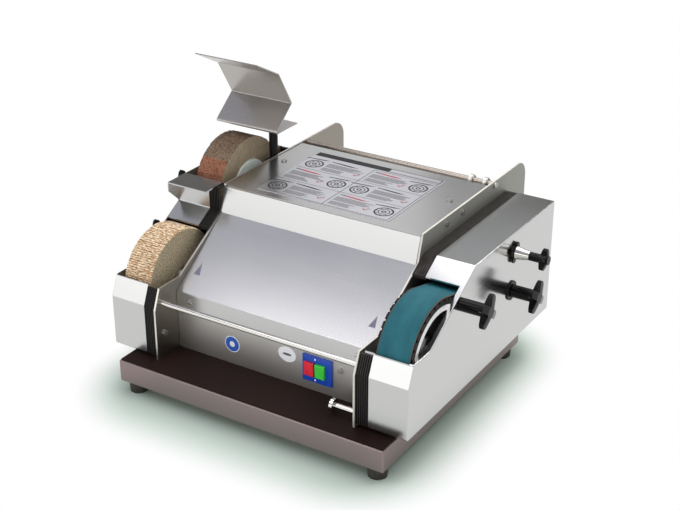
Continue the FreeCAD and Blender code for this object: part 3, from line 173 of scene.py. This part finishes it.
soft_box("overhead_box", (-0.66, -1.08, 1.6), (-0.66, -1.03, 0.0), 0.95, 1.1, 6.9, (1.0, 0.98, 1.0))
soft_box("small_box", (-0.34, 0.0, 1.6), (-0.34, 0.01, 0.0), 0.26, 0.22, 0.36, (1.0, 1.0, 1.0))
soft_box("rear_card", (-0.96, 1.57, 1.12), (0.0, 0.03, 0.27), 0.5, 0.7, 0.9, (0.96, 0.97, 1.0))
soft_box("side_card", (-0.44, 1.46, 1.12), (0.22, 0.02, 0.25), 0.26, 0.42, 0.11, (0.90, 0.96, 1.0))
soft_box("edge_lamp", (0.20, 1.55, 1.62), (0.0, 0.0, 0.25), 0.35, 0.5, 6.0, (1.0, 1.0, 1.0))
soft_box("key_lamp", (0.38, 0.98, 2.56), (0.0, 0.0, 0.1), 3.5, 3.1, 66.0, (1.0, 0.99, 0.97))

eye = bpy.data.cameras.new("photo_camera")
eye.lens = 71.02
eye.sensor_width = 36.0
camera = bpy.data.objects.new("photo_camera", eye)
camera.location = (0.95658, -1.54302, 1.05217)
camera.rotation_euler = (math.radians(64.12), 0.0, math.radians(32.09))
scene.collection.objects.link(camera)
scene.camera = camera


# Base tray: steel sheet folded down on all four sides, ground dull, with a warm tone.
# Its lips below carry the feet.
def srgb(*parts):
    """Linear colour from the 0 to 255 numbers of a screen colour."""
    return tuple(((p / 255 + 0.055) / 1.055) ** 2.4 for p in parts)


def darker(colour, share):
    return tuple(c * share for c in colour)


def material(name):
    made = bpy.data.materials.new(name)
    made.use_nodes = True
    made.node_tree.nodes.clear()
    return made, Shade(made.node_tree)


def close(tree, **sockets):
    """Principled surface of a finish; underscores in the names stand for spaces."""
    shell = tree.node("BsdfPrincipled", {}, {key.replace("_", " "): value for key, value in sockets.items()})
    tree.node("OutputMaterial", {}, {"Surface": shell})


def speckle(tree, where, scale, detail=2.0):
    return tree.node("TexNoise", {}, {"Vector": where, "Scale": scale, "Detail": detail})


def bumped(tree, level, strength, depth):
    return tree.node("Bump", {}, {"Height": level, "Strength": strength, "Distance": depth})


def dress(finish, *names):
    for name in names:
        for slot in nodes[name].material_slots:
            slot.material = finish


def ground_sheet(name, colour, rough, lines_share, edge=None):
    """Ground sheet: fine lines along X on faces that look along Y or Z, and along Y on side faces.
    A plate that stands across X may have edges of another colour."""
    finish, tree = material(name)
    place = tree.node("TexCoord", {}, {}, "Object")
    facing = tree.node("NewGeometry", {}, {}, "Normal").dot((1.0, 0.0, 0.0))
    sideways = facing.maths("ABSOLUTE", facing).ramp(0.6, 0.8)
    along_x = speckle(tree, place.times((5.0, 700.0, 700.0)), 1.0)
    along_y = speckle(tree, place.times((700.0, 5.0, 700.0)), 1.0)
    lines = along_x + sideways * (along_y - along_x)
    clouds = speckle(tree, place, 6.0, 3.0)
    tone = (lines * 0.6 + clouds * 0.4).blend(darker(colour, 1.0 - lines_share), colour)
    if edge:
        tone = sideways.blend(edge, tone)
    close(tree, Base_Color=tone, Metallic=1.0, Roughness=rough + (lines - 0.5) * 0.06 + (clouds - 0.5) * 0.08,
          Normal=bumped(tree, lines, 0.02, 0.0002))
    return finish


dress(ground_sheet("dull_tray_steel", (0.30, 0.235, 0.232), 0.40, 0.14), "base_tray")


# Deck mat: a dark brown moulded sheet with a faint pebble.
# It lies on the tray and stays matt under the lamps.
def matt_sheet(name, dark, light, scale, rough, depth, gloss=0.25):
    finish, tree = material(name)
    place = tree.node("TexCoord", {}, {}, "Object")
    pebble = speckle(tree, place, scale, 3.0)
    worn = speckle(tree, place, 14.0, 4.0)
    tone = (pebble * 0.6 + worn * 0.4).ramp(0.3, 0.75).blend(dark, light)
    close(tree, Base_Color=tone, Roughness=rough + (worn - 0.5) * 0.2, Specular_IOR_Level=gloss,
          Normal=bumped(tree, pebble, 0.25, depth))
    return finish


dress(matt_sheet("brown_mat", srgb(31, 19, 17), srgb(46, 30, 27), 900.0, 0.62, 0.0002, 0.10), "deck_mat")


# Rubber feet, seals and drive belts: black moulded rubber with a dry bloom.
# The feet sit under the lips of the tray, and the belts run on the pulleys inside.
dress(matt_sheet("black_rubber", srgb(34, 32, 30), srgb(76, 72, 66), 700.0, 0.48, 0.0003),
      "rubber_feet", "shaft_seals", "drive_belts")


# Gaskets: ribbed rubber strips squeezed between the cheeks and the side casings.
# The ribs have a grey bloom, paler where they look up as painted light from above and more on the right
# gasket as painted light there, and the grooves are darkened as painted shade.
def ribbed_rubber(node, ribs, clean, bloom_and_lit_tone):
    low, high = (Vector(corner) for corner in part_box(node))
    finish, tree = material(node + "_rubber")
    place = tree.node("TexCoord", {}, {}, "Object")
    lands = (place.dot((1.0, 0.0, 0.0)) - low.x) * ((2 * ribs - 1) / (high.x - low.x)) + 0.5
    ridge_vs_groove_shade = lands.maths("PINGPONG", lands, 1.0).ramp(0.25, 0.75)
    bloom = speckle(tree, place, 120.0, 3.0)
    # Faces that look up get a paler bloom, so rubbed below is bloom plus painted light from above.
    top_light_mask = tree.node("NewGeometry", {}, {}, "Normal").dot((0.0, 0.0, 1.0)).ramp(0.2, 0.7)
    rubbed = (bloom.ramp(0.25, 0.75) * top_light_mask).blend(clean, bloom_and_lit_tone)
    # The grooves between the ribs take a near-black colour: painted shade.
    close(tree, Base_Color=ridge_vs_groove_shade.blend(srgb(24, 22, 20), rubbed), Roughness=0.50 + (bloom - 0.5) * 0.2,
          Specular_IOR_Level=0.25)
    dress(finish, node)


gasket_ribs = 7
gasket_black = srgb(34, 32, 30)
ribbed_rubber("left_gasket", gasket_ribs, gasket_black, srgb(60, 57, 54))
# The right gasket's paler bloom tone is painted light, as it catches more light than the left.
ribbed_rubber("right_gasket", gasket_ribs, gasket_black, srgb(94, 88, 83))


# Body sheet: panels, bonnet, side casings and guard, folded from stainless sheet with a satin grind and
# joined by slotted screws and studs. The front panel is ground coarser and the right casing finer. The thick
# cheeks have bright cut edges, and their faces are darker than the sheet as painted shade: warm brown on
# the left, greyer and rougher on the right.
stainless = (0.57, 0.57, 0.565)
dress(ground_sheet("satin_stainless", stainless, 0.25, 0.05), "bonnet", "top_panel", "rear_panel", "left_casing")
dress(ground_sheet("smooth_stainless", stainless, 0.19, 0.05), "right_casing")
dress(ground_sheet("coarse_stainless", (0.60, 0.58, 0.55), 0.44, 0.08), "front_panel")
dress(ground_sheet("guard_stainless", (0.45, 0.43, 0.41), 0.26, 0.08), "guard_sheet", "guard_arm")
cut_edge = (0.70, 0.67, 0.62)
# The darker cheek faces are painted shade and painted dark reflection, the left one warmer brown.
dress(ground_sheet("left_cheek_shade", (0.30, 0.275, 0.235), 0.34, 0.10, cut_edge), "left_cheek")
dress(ground_sheet("right_cheek_shade", (0.36, 0.36, 0.33), 0.58, 0.10, cut_edge), "right_cheek")


# Turned steel: the front rod, drain pull and cone sleeve are polished bright, and the rear bar has satin
# collars and a dark brown tone that is painted shade. Screws, studs and nuts are zinc plated, and the shafts
# and flanges are ground.
def turned(name, colour, rough):
    finish, tree = material(name)
    place = tree.node("TexCoord", {}, {}, "Object")
    rings = speckle(tree, place.times((900.0, 40.0, 40.0)), 1.0)
    smear = speckle(tree, place, 45.0, 3.0)
    close(tree, Base_Color=smear.blend(darker(colour, 0.86), colour), Metallic=1.0,
          Roughness=rough + (rings - 0.5) * 0.03 + (smear - 0.5) * 0.08)
    return finish


dress(turned("polished_rod", (0.74, 0.72, 0.68), 0.14), "front_rod", "drain_rod", "cone_sleeve")
dress(turned("satin_collar", (0.72, 0.70, 0.66), 0.36), "bar_collars")
# The rear bar's dark brown steel colour is painted shade from behind the top panel.
dress(turned("shaded_rear_bar", (0.42, 0.37, 0.32), 0.22), "rear_bar")
dress(turned("zinc_steel", (0.60, 0.59, 0.57), 0.28), "base_screws", "body_screws", "tie_studs", "shaft_nuts",
      "flap_nut")
dress(turned("ground_shaft", (0.60, 0.60, 0.60), 0.24), "front_shaft", "upper_shaft", "motor_shaft", "idler_axle",
      "polishing_flanges")


# Knobs, gland and switch box: black moulded plastic with a sheen and rubbed high spots. The guard's post
# and clamp are black oxide steel.
def moulded(name, colour, rough, coat, gloss=0.24):
    finish, tree = material(name)
    place = tree.node("TexCoord", {}, {}, "Object")
    skin = speckle(tree, place, 1400.0)
    rubbed = speckle(tree, place, 60.0, 4.0)
    pale = tuple(min(1.0, c * 1.2 + 0.003) for c in colour)
    close(tree, Base_Color=rubbed.ramp(0.35, 0.8).blend(colour, pale), Roughness=rough + (rubbed - 0.5) * 0.2,
          Specular_IOR_Level=gloss, Coat_Weight=coat, Coat_Roughness=0.08,
          Normal=bumped(tree, skin, 0.06, 0.0002))
    return finish


dress(moulded("black_plastic", srgb(6, 5, 4), 0.14, 0.06, 0.12), "front_star_knob", "rear_star_knob",
      "left_front_knob", "left_rear_knob", "lock_star", "adjuster_knob", "guard_clamp_knob", "cable_gland",
      "switch_body")
dress(moulded("black_oxide", srgb(26, 25, 24), 0.42, 0.0), "guard_post", "guard_clamp", "axle_washer")


# Switch: a blue moulded plate with a red stop and a green start button.
# It sits on the front panel, and each button slides in and out by itself.
dress(moulded("blue_plastic", srgb(28, 72, 178), 0.30, 0.3), "switch_plate")
dress(moulded("red_plastic", srgb(226, 48, 62), 0.28, 0.4), "red_button")
dress(moulded("green_plastic", srgb(66, 205, 72), 0.28, 0.4), "green_button")


# Castings: hub, roller, pulleys and motor in machined aluminium, bearings in painted iron.
# The hub and pulleys sit on their shafts, and the shafts run in the bearings.
dress(turned("machined_aluminium", (0.78, 0.78, 0.77), 0.30), "contact_hub", "idler_roller", "front_pulley",
      "upper_pulley", "drive_pulley", "motor_body")
dress(moulded("painted_iron", srgb(64, 70, 76), 0.5, 0.0), "shaft_bearings")


# Contact tyre: black rubber bonded to the hub and cut with slanting grooves.
# It backs the abrasive belt where the blade is pressed on.
dress(matt_sheet("tyre_rubber", srgb(16, 16, 16), srgb(40, 39, 37), 1100.0, 0.64, 0.0003), "contact_tyre")


# Abrasive belt: an endless band of teal abrasive cloth stretched over the contact wheel and the idler.
# The cut edges show the red-brown backing.
def surface(name, points, faces, finish, body, smooth=True):
    mesh = bpy.data.meshes.new(name)
    mesh.from_pydata(points, [], faces)
    mesh.materials.append(finish)
    for face in mesh.polygons:
        face.use_smooth = smooth
    piece = bpy.data.objects.new(name, mesh)
    scene.collection.objects.link(piece)
    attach(piece, body)
    return piece


def quads(rows, columns, start=0, wrap=False):
    """Faces of a grid of points kept row by row; a wrapped grid joins its last row to its first."""
    faces = []
    for i in range(rows if wrap else rows - 1):
        for j in range(columns - 1):
            a = start + i * columns + j
            b = start + (i + 1) % rows * columns + j
            faces.append((a, a + 1, b + 1, b))
    return faces


def disc_of(node):
    """Axis place (y, z), radius and X ends of a round node."""
    low, high = (Vector(corner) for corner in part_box(node))
    return ((low.y + high.y) / 2, (low.z + high.z) / 2), (high.z - low.z) / 2, low.x, high.x


belt_lift = 0.0003
belt_thickness = 0.0012
belt_columns = 9
drum_steps = 96
roller_steps = 24
drum, drum_radius, _, _ = disc_of("contact_tyre")
roller, roller_radius, _, _ = disc_of("idler_roller")
belt_low, belt_high = (Vector(corner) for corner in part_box("grinding_belt"))


def belt_line(lift):
    """Points (y, z) round the drum and the roller, at a lift above them."""
    big = drum_radius + lift
    small = roller_radius + lift
    run = (roller[0] - drum[0], roller[1] - drum[1])
    heading = math.atan2(run[1], run[0])
    lean = math.acos((big - small) / math.hypot(*run))
    line = []
    for k in range(drum_steps + 1):
        angle = heading + lean + (2 * math.pi - 2 * lean) * k / drum_steps
        line.append((drum[0] + big * math.cos(angle), drum[1] + big * math.sin(angle)))
    for k in range(roller_steps + 1):
        angle = heading - lean + 2 * lean * k / roller_steps
        line.append((roller[0] + small * math.cos(angle), roller[1] + small * math.sin(angle)))
    return line


def loop_length(line):
    return sum(math.dist(a, b) for a, b in zip(line, line[1:] + line[:1]))


abrasive, tree = material("teal_abrasive")
place = tree.node("TexCoord", {}, {}, "Object")
grit = speckle(tree, place, 1500.0, 3.0)
patch = speckle(tree, place.times((1.0, 0.4, 0.4)), 60.0, 3.0)
across = place.dot((1.0, 0.0, 0.0))
backing = 0.0012
rim = 1 - (across - belt_low.x).ramp(0.0, backing) * (1 - (across - belt_high.x).ramp(-backing, 0.0))
cloth = (grit * 0.55 + patch * 0.45).ramp(0.30, 0.72).blend(srgb(22, 84, 95), srgb(40, 110, 121))
close(tree, Base_Color=rim.blend(cloth, srgb(120, 88, 78)), Roughness=0.72 + (grit - 0.5) * 0.3,
      Specular_IOR_Level=0.3, Normal=bumped(tree, grit, 0.5, 0.0003))

belt_points = []
outer_line = belt_line(belt_lift + belt_thickness)
inner_line = belt_line(belt_lift)
for line in (outer_line, inner_line):
    for y, z in line:
        for j in range(belt_columns):
            belt_points.append((belt_low.x + (belt_high.x - belt_low.x) * j / (belt_columns - 1), y, z))
turns = len(outer_line)
belt_faces = quads(turns, belt_columns, 0, True)
belt_faces += [face[::-1] for face in quads(turns, belt_columns, turns * belt_columns, True)]
for i in range(turns):
    after = (i + 1) % turns
    for j, flip in ((0, False), (belt_columns - 1, True)):
        edge = tuple(row * belt_columns + j for row in (i, after, turns + after, turns + i))
        belt_faces.append(edge[::-1] if flip else edge)
belt = surface("abrasive_belt", belt_points, belt_faces, abrasive, "frame")
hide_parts("grinding_belt")
loop_length(outer_line)


# Polishing wheel: strips of sisal cloth folded into pleats and sewn, so the rim is rows of cut ends
# that run across the face, with painted shade in the valleys between the rows. Clamped between two steel flanges.
def wheel_surfaces(axis, x0, x1, rim_rows, recess, depth, bore):
    """Points and faces of a wheel from its rim rows, with plain sides and a recess for the nut on the left."""
    count = len(rim_rows)
    columns = len(rim_rows[0])
    points = [point for row in rim_rows for point in row]
    rim_faces = [face[::-1] for face in quads(count, columns, 0, True)]
    side_faces = []
    rings = [(x0, recess), (x0 + depth, recess), (x0 + depth, bore)], [(x1, bore)]
    for ends, column in ((rings[0], 0), (rings[1], columns - 1)):
        chain = [[i * columns + column for i in range(count)]]
        for x, radius in ends:
            base = len(points)
            for i in range(count):
                angle = 2 * math.pi * i / count
                points.append((x, axis[0] + radius * math.cos(angle), axis[1] + radius * math.sin(angle)))
            chain.append(list(range(base, base + count)))
        for a, b in zip(chain, chain[1:]):
            for i in range(count):
                k = (i + 1) % count
                face = (a[i], a[k], b[k], b[i])
                side_faces.append(face if column else face[::-1])
    return points, rim_faces, side_faces


nut_recess_radius = 0.035
nut_recess_depth = 0.012
axle_hole_radius = 0.01005


def wheel(name, node, body, rows, finishes):
    axis, _, x0, x1 = disc_of(node)
    points, rim_faces, side_faces = wheel_surfaces(axis, x0, x1, rows, nut_recess_radius, nut_recess_depth,
                                                   axle_hole_radius)
    piece = surface(name, points, rim_faces + side_faces, finishes[0], body)
    piece.data.materials.append(finishes[1])
    for face in piece.data.polygons:
        if face.index >= len(rim_faces):
            face.material_index = 1
            face.use_smooth = False
    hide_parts(node)


def rim_angle(place, axis):
    """Turn about a wheel's axle at a point, in radians, and distance from it."""
    spot = place.node("VectorMath", {"operation": "SUBTRACT"}, {0: place, 1: (0.0, axis[0], axis[1])})
    y = spot.dot((0.0, 1.0, 0.0))
    z = spot.dot((0.0, 0.0, 1.0))
    return z.maths("ARCTAN2", z, y), y.maths("SQRT", y * y + z * z)


polish_axis, polish_radius, polish_x0, polish_x1 = disc_of("polishing_wheel")
pleats = 136
sisal, tree = material("sisal_ends")
place = tree.node("TexCoord", {}, {}, "Object")
angle, _ = rim_angle(place, polish_axis)
wave = tree.node("CombineXYZ", {}, {0: place.dot((170.0, 0.0, 0.0)), 1: angle * 22.0})
rows = angle * (pleats / (2 * math.pi)) + speckle(tree, wave, 1.0, 3.0) * 1.5
# The valleys between the rows of ends are darkened brown: painted shade.
pleat_valley_shade = 1 - rows.maths("PINGPONG", rows, 0.5).ramp(0.06, 0.26)
gaps = tree.node("CombineXYZ", {}, {0: place.dot((130.0, 0.0, 0.0)), 1: angle * 45.0, 2: 3.0})
broken = speckle(tree, gaps, 1.0, 5.0).ramp(0.26, 0.54)
fray = speckle(tree, place.times((0.35, 1.0, 1.0)), 560.0, 5.0)
pale = fray.ramp(0.36, 0.60).blend(srgb(200, 158, 112), srgb(252, 236, 206))
close(tree, Base_Color=(pleat_valley_shade * broken).blend(pale, srgb(150, 104, 62)), Roughness=0.85 + (fray - 0.5) * 0.2,
      Specular_IOR_Level=0.2, Normal=bumped(tree, fray * 0.4 - pleat_valley_shade * broken, 0.7, 0.0012))
cloth_side, tree = material("sisal_side")
place = tree.node("TexCoord", {}, {}, "Object")
angle, out = rim_angle(place, polish_axis)
threads = speckle(tree, tree.node("CombineXYZ", {}, {0: angle * 46.0, 1: out * 220.0}), 1.0, 3.0)
weave = speckle(tree, place, 480.0, 4.0)
cloth = (threads * 0.4 + weave * 0.6).ramp(0.34, 0.66)
close(tree, Base_Color=cloth.blend(srgb(130, 117, 93), srgb(206, 192, 162)),
      Roughness=0.86 + (weave - 0.5) * 0.2, Specular_IOR_Level=0.2, Normal=bumped(tree, threads, 0.5, 0.0006))

pleat_shape = (1.0, 0.30, 0.0, 0.12, 0.5)
pleat_depth = 0.0011
pleat_spread = 0.0009
fringe_length = 0.0009
rounded_edge = 0.0012
rim_columns = 25
dice = random.Random(4)
depths = [pleat_depth + pleat_spread * dice.random() for _ in range(pleats)]
polish_rows = []
for i in range(pleats * len(pleat_shape)):
    pleat = i // len(pleat_shape)
    row = []
    for j in range(rim_columns):
        x = polish_x0 + (polish_x1 - polish_x0) * j / (rim_columns - 1)
        drift = noise.noise(Vector((x * 120.0, pleat * 3.7, 0.5))) * 0.55
        turn = 2 * math.pi * (i + drift * len(pleat_shape)) / (pleats * len(pleat_shape))
        fringe = abs(noise.noise(Vector((x * 420.0, i * 1.3, 7.0)))) * fringe_length
        edge = rounded_edge if j in (0, rim_columns - 1) else 0.0
        out = polish_radius - pleat_shape[i % len(pleat_shape)] * depths[pleat] - fringe - edge
        row.append((x, polish_axis[0] + out * math.cos(turn), polish_axis[1] + out * math.sin(turn)))
    polish_rows.append(row)
wheel("sisal_wheel", "polishing_wheel", "front_spindle", polish_rows, (sisal, cloth_side))


# Flap wheel: overlapping flaps of brown abrasive cloth set round a core, worn smooth, and redder over one span of
# its turn.
# Pale moulded discs hold it from the sides.
flap_axis, flap_radius, flap_x0, flap_x1 = disc_of("flap_wheel")
flaps_finish, tree = material("brown_flaps")
place = tree.node("TexCoord", {}, {}, "Object")
angle, _ = rim_angle(place, flap_axis)
grain = speckle(tree, place, 480.0, 5.0)
blotch = speckle(tree, place, 90.0, 3.0)
mottle = (grain * 0.8 + blotch * 0.2).ramp(0.30, 0.70)
brown = mottle.blend(srgb(74, 54, 42), srgb(152, 130, 108))
red_tone = mottle.blend(srgb(98, 60, 44), srgb(168, 116, 90))
# One span of the turn is tinted redder.
red_span = angle.ramp(2.32, 2.335) * (1 - angle.ramp(2.90, 2.92))
close(tree, Base_Color=red_span.blend(brown, red_tone), Roughness=0.82 + (grain - 0.5) * 0.3,
      Specular_IOR_Level=0.25, Normal=bumped(tree, grain, 0.6, 0.0005))
flap_side, tree = material("flap_edges")
place = tree.node("TexCoord", {}, {}, "Object")
angle, out = rim_angle(place, flap_axis)
plies = speckle(tree, tree.node("CombineXYZ", {}, {0: angle * 60.0 + out * 400.0, 1: out * 60.0}), 1.0, 2.0)
grain = speckle(tree, place, 1000.0, 2.0)
edges = (plies * 0.7 + grain * 0.3).ramp(0.3, 0.7)
close(tree, Base_Color=edges.blend(srgb(132, 116, 94), srgb(186, 170, 144)),
      Roughness=0.85 + (grain - 0.5) * 0.2, Specular_IOR_Level=0.2, Normal=bumped(tree, plies, 0.5, 0.0006))

flaps = 40
flap_shape = (0.0012, 0.0009, 0.0007, 0.0005, 0.0004, 0.0003, 0.00015, 0.0)
flap_wear = 0.8
flap_settle = 0.0004
flap_slide = 0.0005
flap_ripple = 0.0002
flap_clearance = 0.0003
flap_columns = 13
flap_rows = []
dice = random.Random(9)
for i in range(flaps * len(flap_shape)):
    if i % len(flap_shape) == 0:
        settle = flap_settle * dice.random()
        slide = flap_slide * dice.random()
    row = []
    turn = 2 * math.pi * i / (flaps * len(flap_shape))
    for j in range(flap_columns):
        x = flap_x0 + slide + (flap_x1 - flap_x0 - 2 * slide) * j / (flap_columns - 1)
        ripple = flap_ripple * noise.noise(Vector((x * 60.0, i * 0.4, 2.0)))
        out = flap_radius - flap_shape[i % len(flap_shape)] * flap_wear - settle + ripple - flap_clearance
        row.append((x, flap_axis[0] + out * math.cos(turn), flap_axis[1] + out * math.sin(turn)))
    flap_rows.append(row)
wheel("flap_stack", "flap_wheel", "upper_spindle", flap_rows, (flaps_finish, flap_side))
dress(moulded("pale_green_disc", srgb(232, 246, 236), 0.35, 0.2), "flap_discs")


# Printed plate on the top panel: satin metal with a frame line, a dark heading band and six ruled boxes.
# Each box holds a wheel, a blade, a red tick and lines of small print drawn as bars, in black and red ink.
dress(ground_sheet("plate_metal", (0.68, 0.68, 0.71), 0.30, 0.04), "instruction_plate")


def ink(name, colour):
    finish, tree = material(name)
    place = tree.node("TexCoord", {}, {}, "Object")
    worn = speckle(tree, place, 500.0, 3.0)
    close(tree, Base_Color=worn.ramp(0.40, 0.85).blend(colour, tuple(c * 0.8 + 0.05 for c in colour)),
          Roughness=0.55 + (worn - 0.5) * 0.2, Specular_IOR_Level=0.25)
    return finish


plate_low, plate_high = (Vector(corner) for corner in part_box("instruction_plate"))
prints = {"black": [], "grey": [], "red": []}


def at(u, v):
    """Place on the plate from millimetres along its front and left edges."""
    return plate_low.x + u * 0.001, plate_low.y + v * 0.001


def bar(tint, u0, v0, u1, v1):
    prints[tint].append([at(u0, v0), at(u1, v0), at(u1, v1), at(u0, v1)])


def shape(tint, middle, outline, turn=0.0):
    c = math.cos(math.radians(turn))
    s = math.sin(math.radians(turn))
    prints[tint].append([at(middle[0] + c * u - s * v, middle[1] + s * u + c * v) for u, v in outline])


def small_print(u0, v0, wide, rows, dice):
    line_pitch = 3.0
    line_height = 1.3
    for k in range(rows):
        v = v0 - line_pitch * k
        bar("grey", u0, v, u0 + wide * (0.72 + 0.28 * dice.random()), v + line_height)


def blade(tint, u, v, long, turn):
    """A pointed blade with a black handle."""
    heel = -long / 2
    belly = long / 6
    handle = heel - 11
    shape(tint, (u, v), [(heel, -1.6), (belly, -2.0), (-heel, 0.8), (belly, 1.4), (heel, 1.4)], turn)
    shape("black", (u, v), [(handle, -1.3), (heel, -1.3), (heel, 1.1), (handle, 0.6)], turn)


def round_mark(tint, u, v, radius, thick):
    sides = 18
    for k in range(sides):
        a = 2 * math.pi * k / sides
        b = 2 * math.pi * (k + 1) / sides
        ring = ((radius, a), (radius, b), (radius - thick, b), (radius - thick, a))
        shape(tint, (u, v), [(r * math.cos(t), r * math.sin(t)) for r, t in ring])


def tick(u, v, size):
    shape("red", (u, v), [(-size, -0.8), (0.3, -0.8), (0.3, 0.8), (-size, 0.8)], -45)
    shape("red", (u, v), [(-0.8, -0.8), (2 * size, -0.8), (2 * size, 0.8), (-0.8, 0.8)], 55)


dice = random.Random(7)
bar("black", 1, 157, 134, 171)
for u0, v0, u1, v1 in ((134, 169.4, 223, 171), (134, 157, 223, 158.6), (221.4, 158, 223, 170),
                       (222, 2, 223, 156), (1, 1, 223, 1.8), (112, 2, 113, 153), (1, 52, 222, 52.8),
                       (1, 103, 222, 103.8), (112, 152.2, 222, 153)):
    bar("black", u0, v0, u1, v1)
for column in range(2):
    for row in range(3):
        left = 2 + 112 * column
        foot = 3 + 50.5 * row
        swapped = (column + row) % 2
        wheel_u = left + (90 if swapped else 18)
        text_u = left + (4 if swapped else 38)
        for radius, thick in ((15, 2.4), (9, 1.4), (4, 2.0)):
            round_mark("black", wheel_u, foot + 21, radius, thick)
        for turn in range(0, 360, 45):
            shape("grey", (wheel_u, foot + 21), [(9.5, -0.7), (12.6, -0.7), (12.6, 0.7), (9.5, 0.7)], turn)
        blade("grey", wheel_u + 2, foot + 41, 30, 5)
        blade("red" if swapped else "black", text_u + 30, foot + 40, 38, -4)
        tick(text_u + 58, foot + 12, 5)
        small_print(text_u, foot + 32, 66, 5, dice)
        small_print(text_u, foot + 14, 46, 4, dice)
tints = {"black": srgb(26, 23, 26), "grey": srgb(96, 94, 98), "red": srgb(176, 46, 78)}
ink_lift = 0.00006
ink_step = 0.00003
lift = plate_high.z + ink_lift
for tint, outlines in prints.items():
    points = []
    faces = []
    for outline in outlines:
        faces.append(tuple(range(len(points), len(points) + len(outline))))
        points += [(x, y, lift) for x, y in outline]
    surface("plate_print_" + tint, points, faces, ink("ink_" + tint, tints[tint]), "frame", False)
    lift += ink_step


# Stickers and marks: a blue disc with a white ring and a white oval on the front panel, two grey triangles
# printed on the bonnet, and white dots on the switch plate.
def sticker(name, middle, wide, tall, y, thick, finish):
    sides = 40
    points = []
    for lift in (0.0, thick):
        for k in range(sides):
            a = 2 * math.pi * k / sides
            points.append((middle[0] + wide / 2 * math.cos(a), y - lift, middle[1] + tall / 2 * math.sin(a)))
    faces = [tuple(range(sides, 2 * sides))]
    for k in range(sides):
        after = (k + 1) % sides
        faces.append((k, after, sides + after, sides + k))
    return surface(name, points, faces, finish, "frame", False)


panel_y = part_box("front_panel")[0][1]
white_ink = ink("white_ink", srgb(238, 240, 242))
blue_ink = ink("blue_ink", srgb(40, 92, 188))
grey_ink = ink("grey_ink", srgb(96, 98, 104))
round_place = (-0.075, 0.0875)
oval_place = (0.021, 0.100)
base_film = 0.00015
field_film = 0.00010
mark_film = 0.00005
field_y = panel_y - base_film
mark_y = field_y - field_film
sticker("round_label", round_place, 0.026, 0.026, panel_y, base_film, white_ink)
sticker("round_label_field", round_place, 0.0235, 0.0235, field_y, field_film, blue_ink)
sticker("round_label_mark", round_place, 0.009, 0.009, mark_y, mark_film, white_ink)
sticker("oval_label", oval_place, 0.030, 0.024, panel_y, base_film, white_ink)
sticker("oval_label_bar", oval_place, 0.015, 0.004, field_y, mark_film, grey_ink)
switch_low, switch_high = (Vector(corner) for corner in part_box("switch_plate"))
for k, level in enumerate((switch_high.z - 0.004, switch_low.z + 0.004)):
    sticker("switch_dot_%d" % k, ((switch_low.x + switch_high.x) / 2 - 0.003, level), 0.003, 0.003, switch_low.y,
            0.0001, white_ink)

slope_foot_height = 0.148
slope_foot = (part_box("bonnet")[0][1], slope_foot_height)
slope_turn = math.radians(34.9)
arrow_lift = 0.00006
lilac_ink = ink("lilac_ink", srgb(120, 118, 138))
for name, corners in (("left_arrow", ((-0.161, 0.0335), (-0.150, 0.0335), (-0.157, 0.0540))),
                      ("right_arrow", ((0.138, 0.0335), (0.149, 0.0335), (0.144, 0.0520)))):
    points = []
    for x, along in corners:
        y = slope_foot[0] + along * math.cos(slope_turn) - arrow_lift * math.sin(slope_turn)
        z = slope_foot[1] + along * math.sin(slope_turn) + arrow_lift * math.cos(slope_turn)
        points.append((x, y, z))
    surface(name, points, [(0, 1, 2)], lilac_ink, "frame", False)
